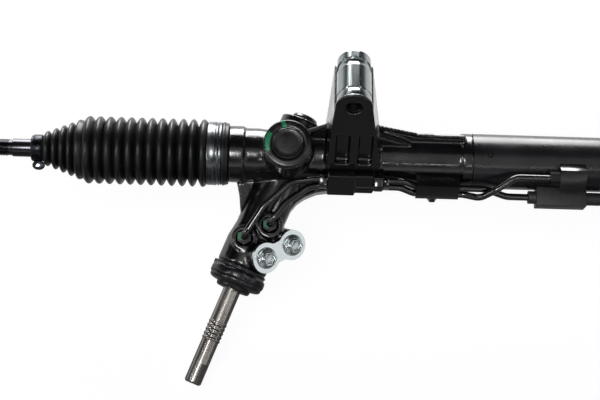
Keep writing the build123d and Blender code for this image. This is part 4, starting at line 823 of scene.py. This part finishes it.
def make_shaft_rings():
    """Rolled retaining beads between the ring grooves of the input shaft."""
    band = [(BEAD_FOOT, BEADS[0] - BEAD_HALF)]
    for station in BEADS:
        band += [(r, station + step) for step, r in BEAD_OUTLINE]
        band += [(BEAD_FOOT, station + BEAD_HALF), (BEAD_FOOT, station + BEAD_NEXT)]
    rings = finished("input_shaft_beads", lathe(band[:-1], 72), PINION, SHAFT_STEEL, 50.0)
    stands_for(rings, "input", "shaft_steel")


# ---------------------------------------------------------------- hose port cover
PORTS = ((0.5, 97.7), (21.1, 75.8))
PLATE_LOW = 30.1
PLATE_THICK = 3.0
PLATE_WAIST, PLATE_RIM = 3.4, 0.7
RIM_ANGLE = 60.0                # degrees
RIM_LEVEL = 0.1
DISC_R = 14.2
DISC_STEPS = 14
DISC_STEP = 9.9                 # degrees
FLANGE = [
    (0.0, 0.0), (9.6, 0.0), (10.0, 0.5), (9.8, 1.1), (8.6, 1.3), (7.4, 2.2), (6.9, 2.4), (0.0, 2.4),
]
FLANGE_GAP = 0.05
HEAD_R, HEAD_HIGH, HEAD_SEAT, HEAD_EASE = 7.2, 5.4, 2.1, 0.35
HEAD_DISH = ((1.5, 0.0), (0.9, -1.6))


def plate_outline(gap):
    """Points of the two discs' arcs, without the waist between them."""
    outline = []
    for side in (0, 1):
        for step in range(-DISC_STEPS, DISC_STEPS + 1):
            angle = math.radians(step * DISC_STEP) + side * math.pi
            outline.append((side * -gap + DISC_R * math.cos(angle), DISC_R * math.sin(angle)))
    return outline


def make_plate():
    """Pressed dumbbell plate with a waist between its two discs."""
    (x1, z1), (x2, z2) = PORTS
    gap = math.hypot(x2 - x1, z2 - z1)
    mesh = bmesh.new()
    corners = [mesh.verts.new((x, y, 0)) for x, y in plate_outline(gap)]
    mesh.faces.new(corners)
    last = 2 * DISC_STEPS
    waist = [corners[index] for index in (0, last, last + 1, 2 * last + 1)]
    bevel(mesh, waist, PLATE_WAIST, 5, "VERTICES")
    wide = bmesh.ops.extrude_face_region(mesh, geom=mesh.faces[:1])["geom"]
    bmesh.ops.translate(mesh, vec=(0, 0, PLATE_THICK), verts=of_kind(wide, bmesh.types.BMVert))
    bmesh.ops.recalc_face_normals(mesh, faces=mesh.faces)
    steep = [e for e in mesh.edges if e.calc_face_angle(0) > math.radians(RIM_ANGLE)]
    rims = [e for e in steep if abs(e.verts[0].co.z - e.verts[1].co.z) < RIM_LEVEL]
    bevel(mesh, rims, PLATE_RIM, 3)
    along = Vector(((x1 - x2) / gap, 0, (z1 - z2) / gap))
    out = Vector((0, 1, 0))
    turn = Matrix((along, out.cross(along), out)).transposed().to_4x4()
    local = Matrix.Translation((x1, PLATE_LOW, z1)) @ turn
    plate = finished("port_cover_dumbbell", mesh, HOSES @ local, ZINC_SHEET, CRISP)
    stands_for(plate, "housing", "zinc_plate", "port_cover_plate")


def make_bolts():
    """Flanged hexagon bolts with dished heads."""
    mesh = bmesh.new()
    for across, along in PORTS:
        top = PLATE_LOW + PLATE_THICK + FLANGE_GAP
        seat = Matrix.Translation((across, top, along)) @ turned(-90.0, "X")
        head = hexagon(HEAD_R, 0.0, HEAD_HIGH, HEAD_EASE, HEAD_DISH)
        merge(mesh, lathe(FLANGE, 72), seat)
        merge(mesh, head, seat @ Matrix.Translation((0, 0, HEAD_SEAT)))
    bolts = finished("port_flange_bolts", mesh, HOSES, ZINC_BOLT)
    stands_for(bolts, "housing", "zinc_plate", "port_bolts")


EASED_BLOCKS = (
    ("line_bracket_pressing", "line_bracket", 0.8),
    ("near_port_weldment", "near_port_block", 0.8),
    ("far_port_weldment", "far_port_block", 0.8),
    ("line_isolator_moulding", "line_isolator", 0.6),
)


def make_blocks():
    """Bracket, ports and isolator with broken edges."""
    slots = {row["node"]: row["material_slot"] for row in frame["record"]["subparts"]}
    for name, node, width in EASED_BLOCKS:
        piece = eased_copy(name, node, frame["nodes"][node].data.materials[0], width)
        stands_for(piece, "housing", slots[node], node)


# Name, azimuth, elevation, size in metres and radiance of the lamps that gloss shows.
GLOSS_LAMPS = (
    ("back_window", 182.0, 24.0, (1.8, 1.45), 13.0),
    ("left_card", 212.0, 41.0, (0.9, 0.7), 1.2),
    ("front_card", 0.0, 58.0, (2.8, 1.6), 0.42),
    ("front_strip", -18.0, 52.0, (0.45, 0.5), 22.0),
    ("left_strip", -62.0, 30.0, (0.14, 1.4), 16.0),
    ("right_strip", 57.0, 40.0, (0.2, 1.1), 5.0),
    ("low_strip", 17.0, 31.0, (0.64, 0.06), 15.0),
    ("right_card", 70.0, 14.0, (0.9, 0.5), 0.8),
)

set_camera()
studio()
lay_floor()
for lamp_row in GLOSS_LAMPS:
    softbox(*lamp_row)
softbox("room_fill", -20.0, 55.0, (1.8, 1.4), 2.0, gloss=False)
dress_nodes()
make_boots()
make_bands()
make_rod_clamps()
make_tie_rods()
make_castings()
make_yoke_parts()
make_sleeves()
make_dust_cap()
make_shaft_rings()
make_plate()
make_bolts()
make_line_fittings()
make_blocks()
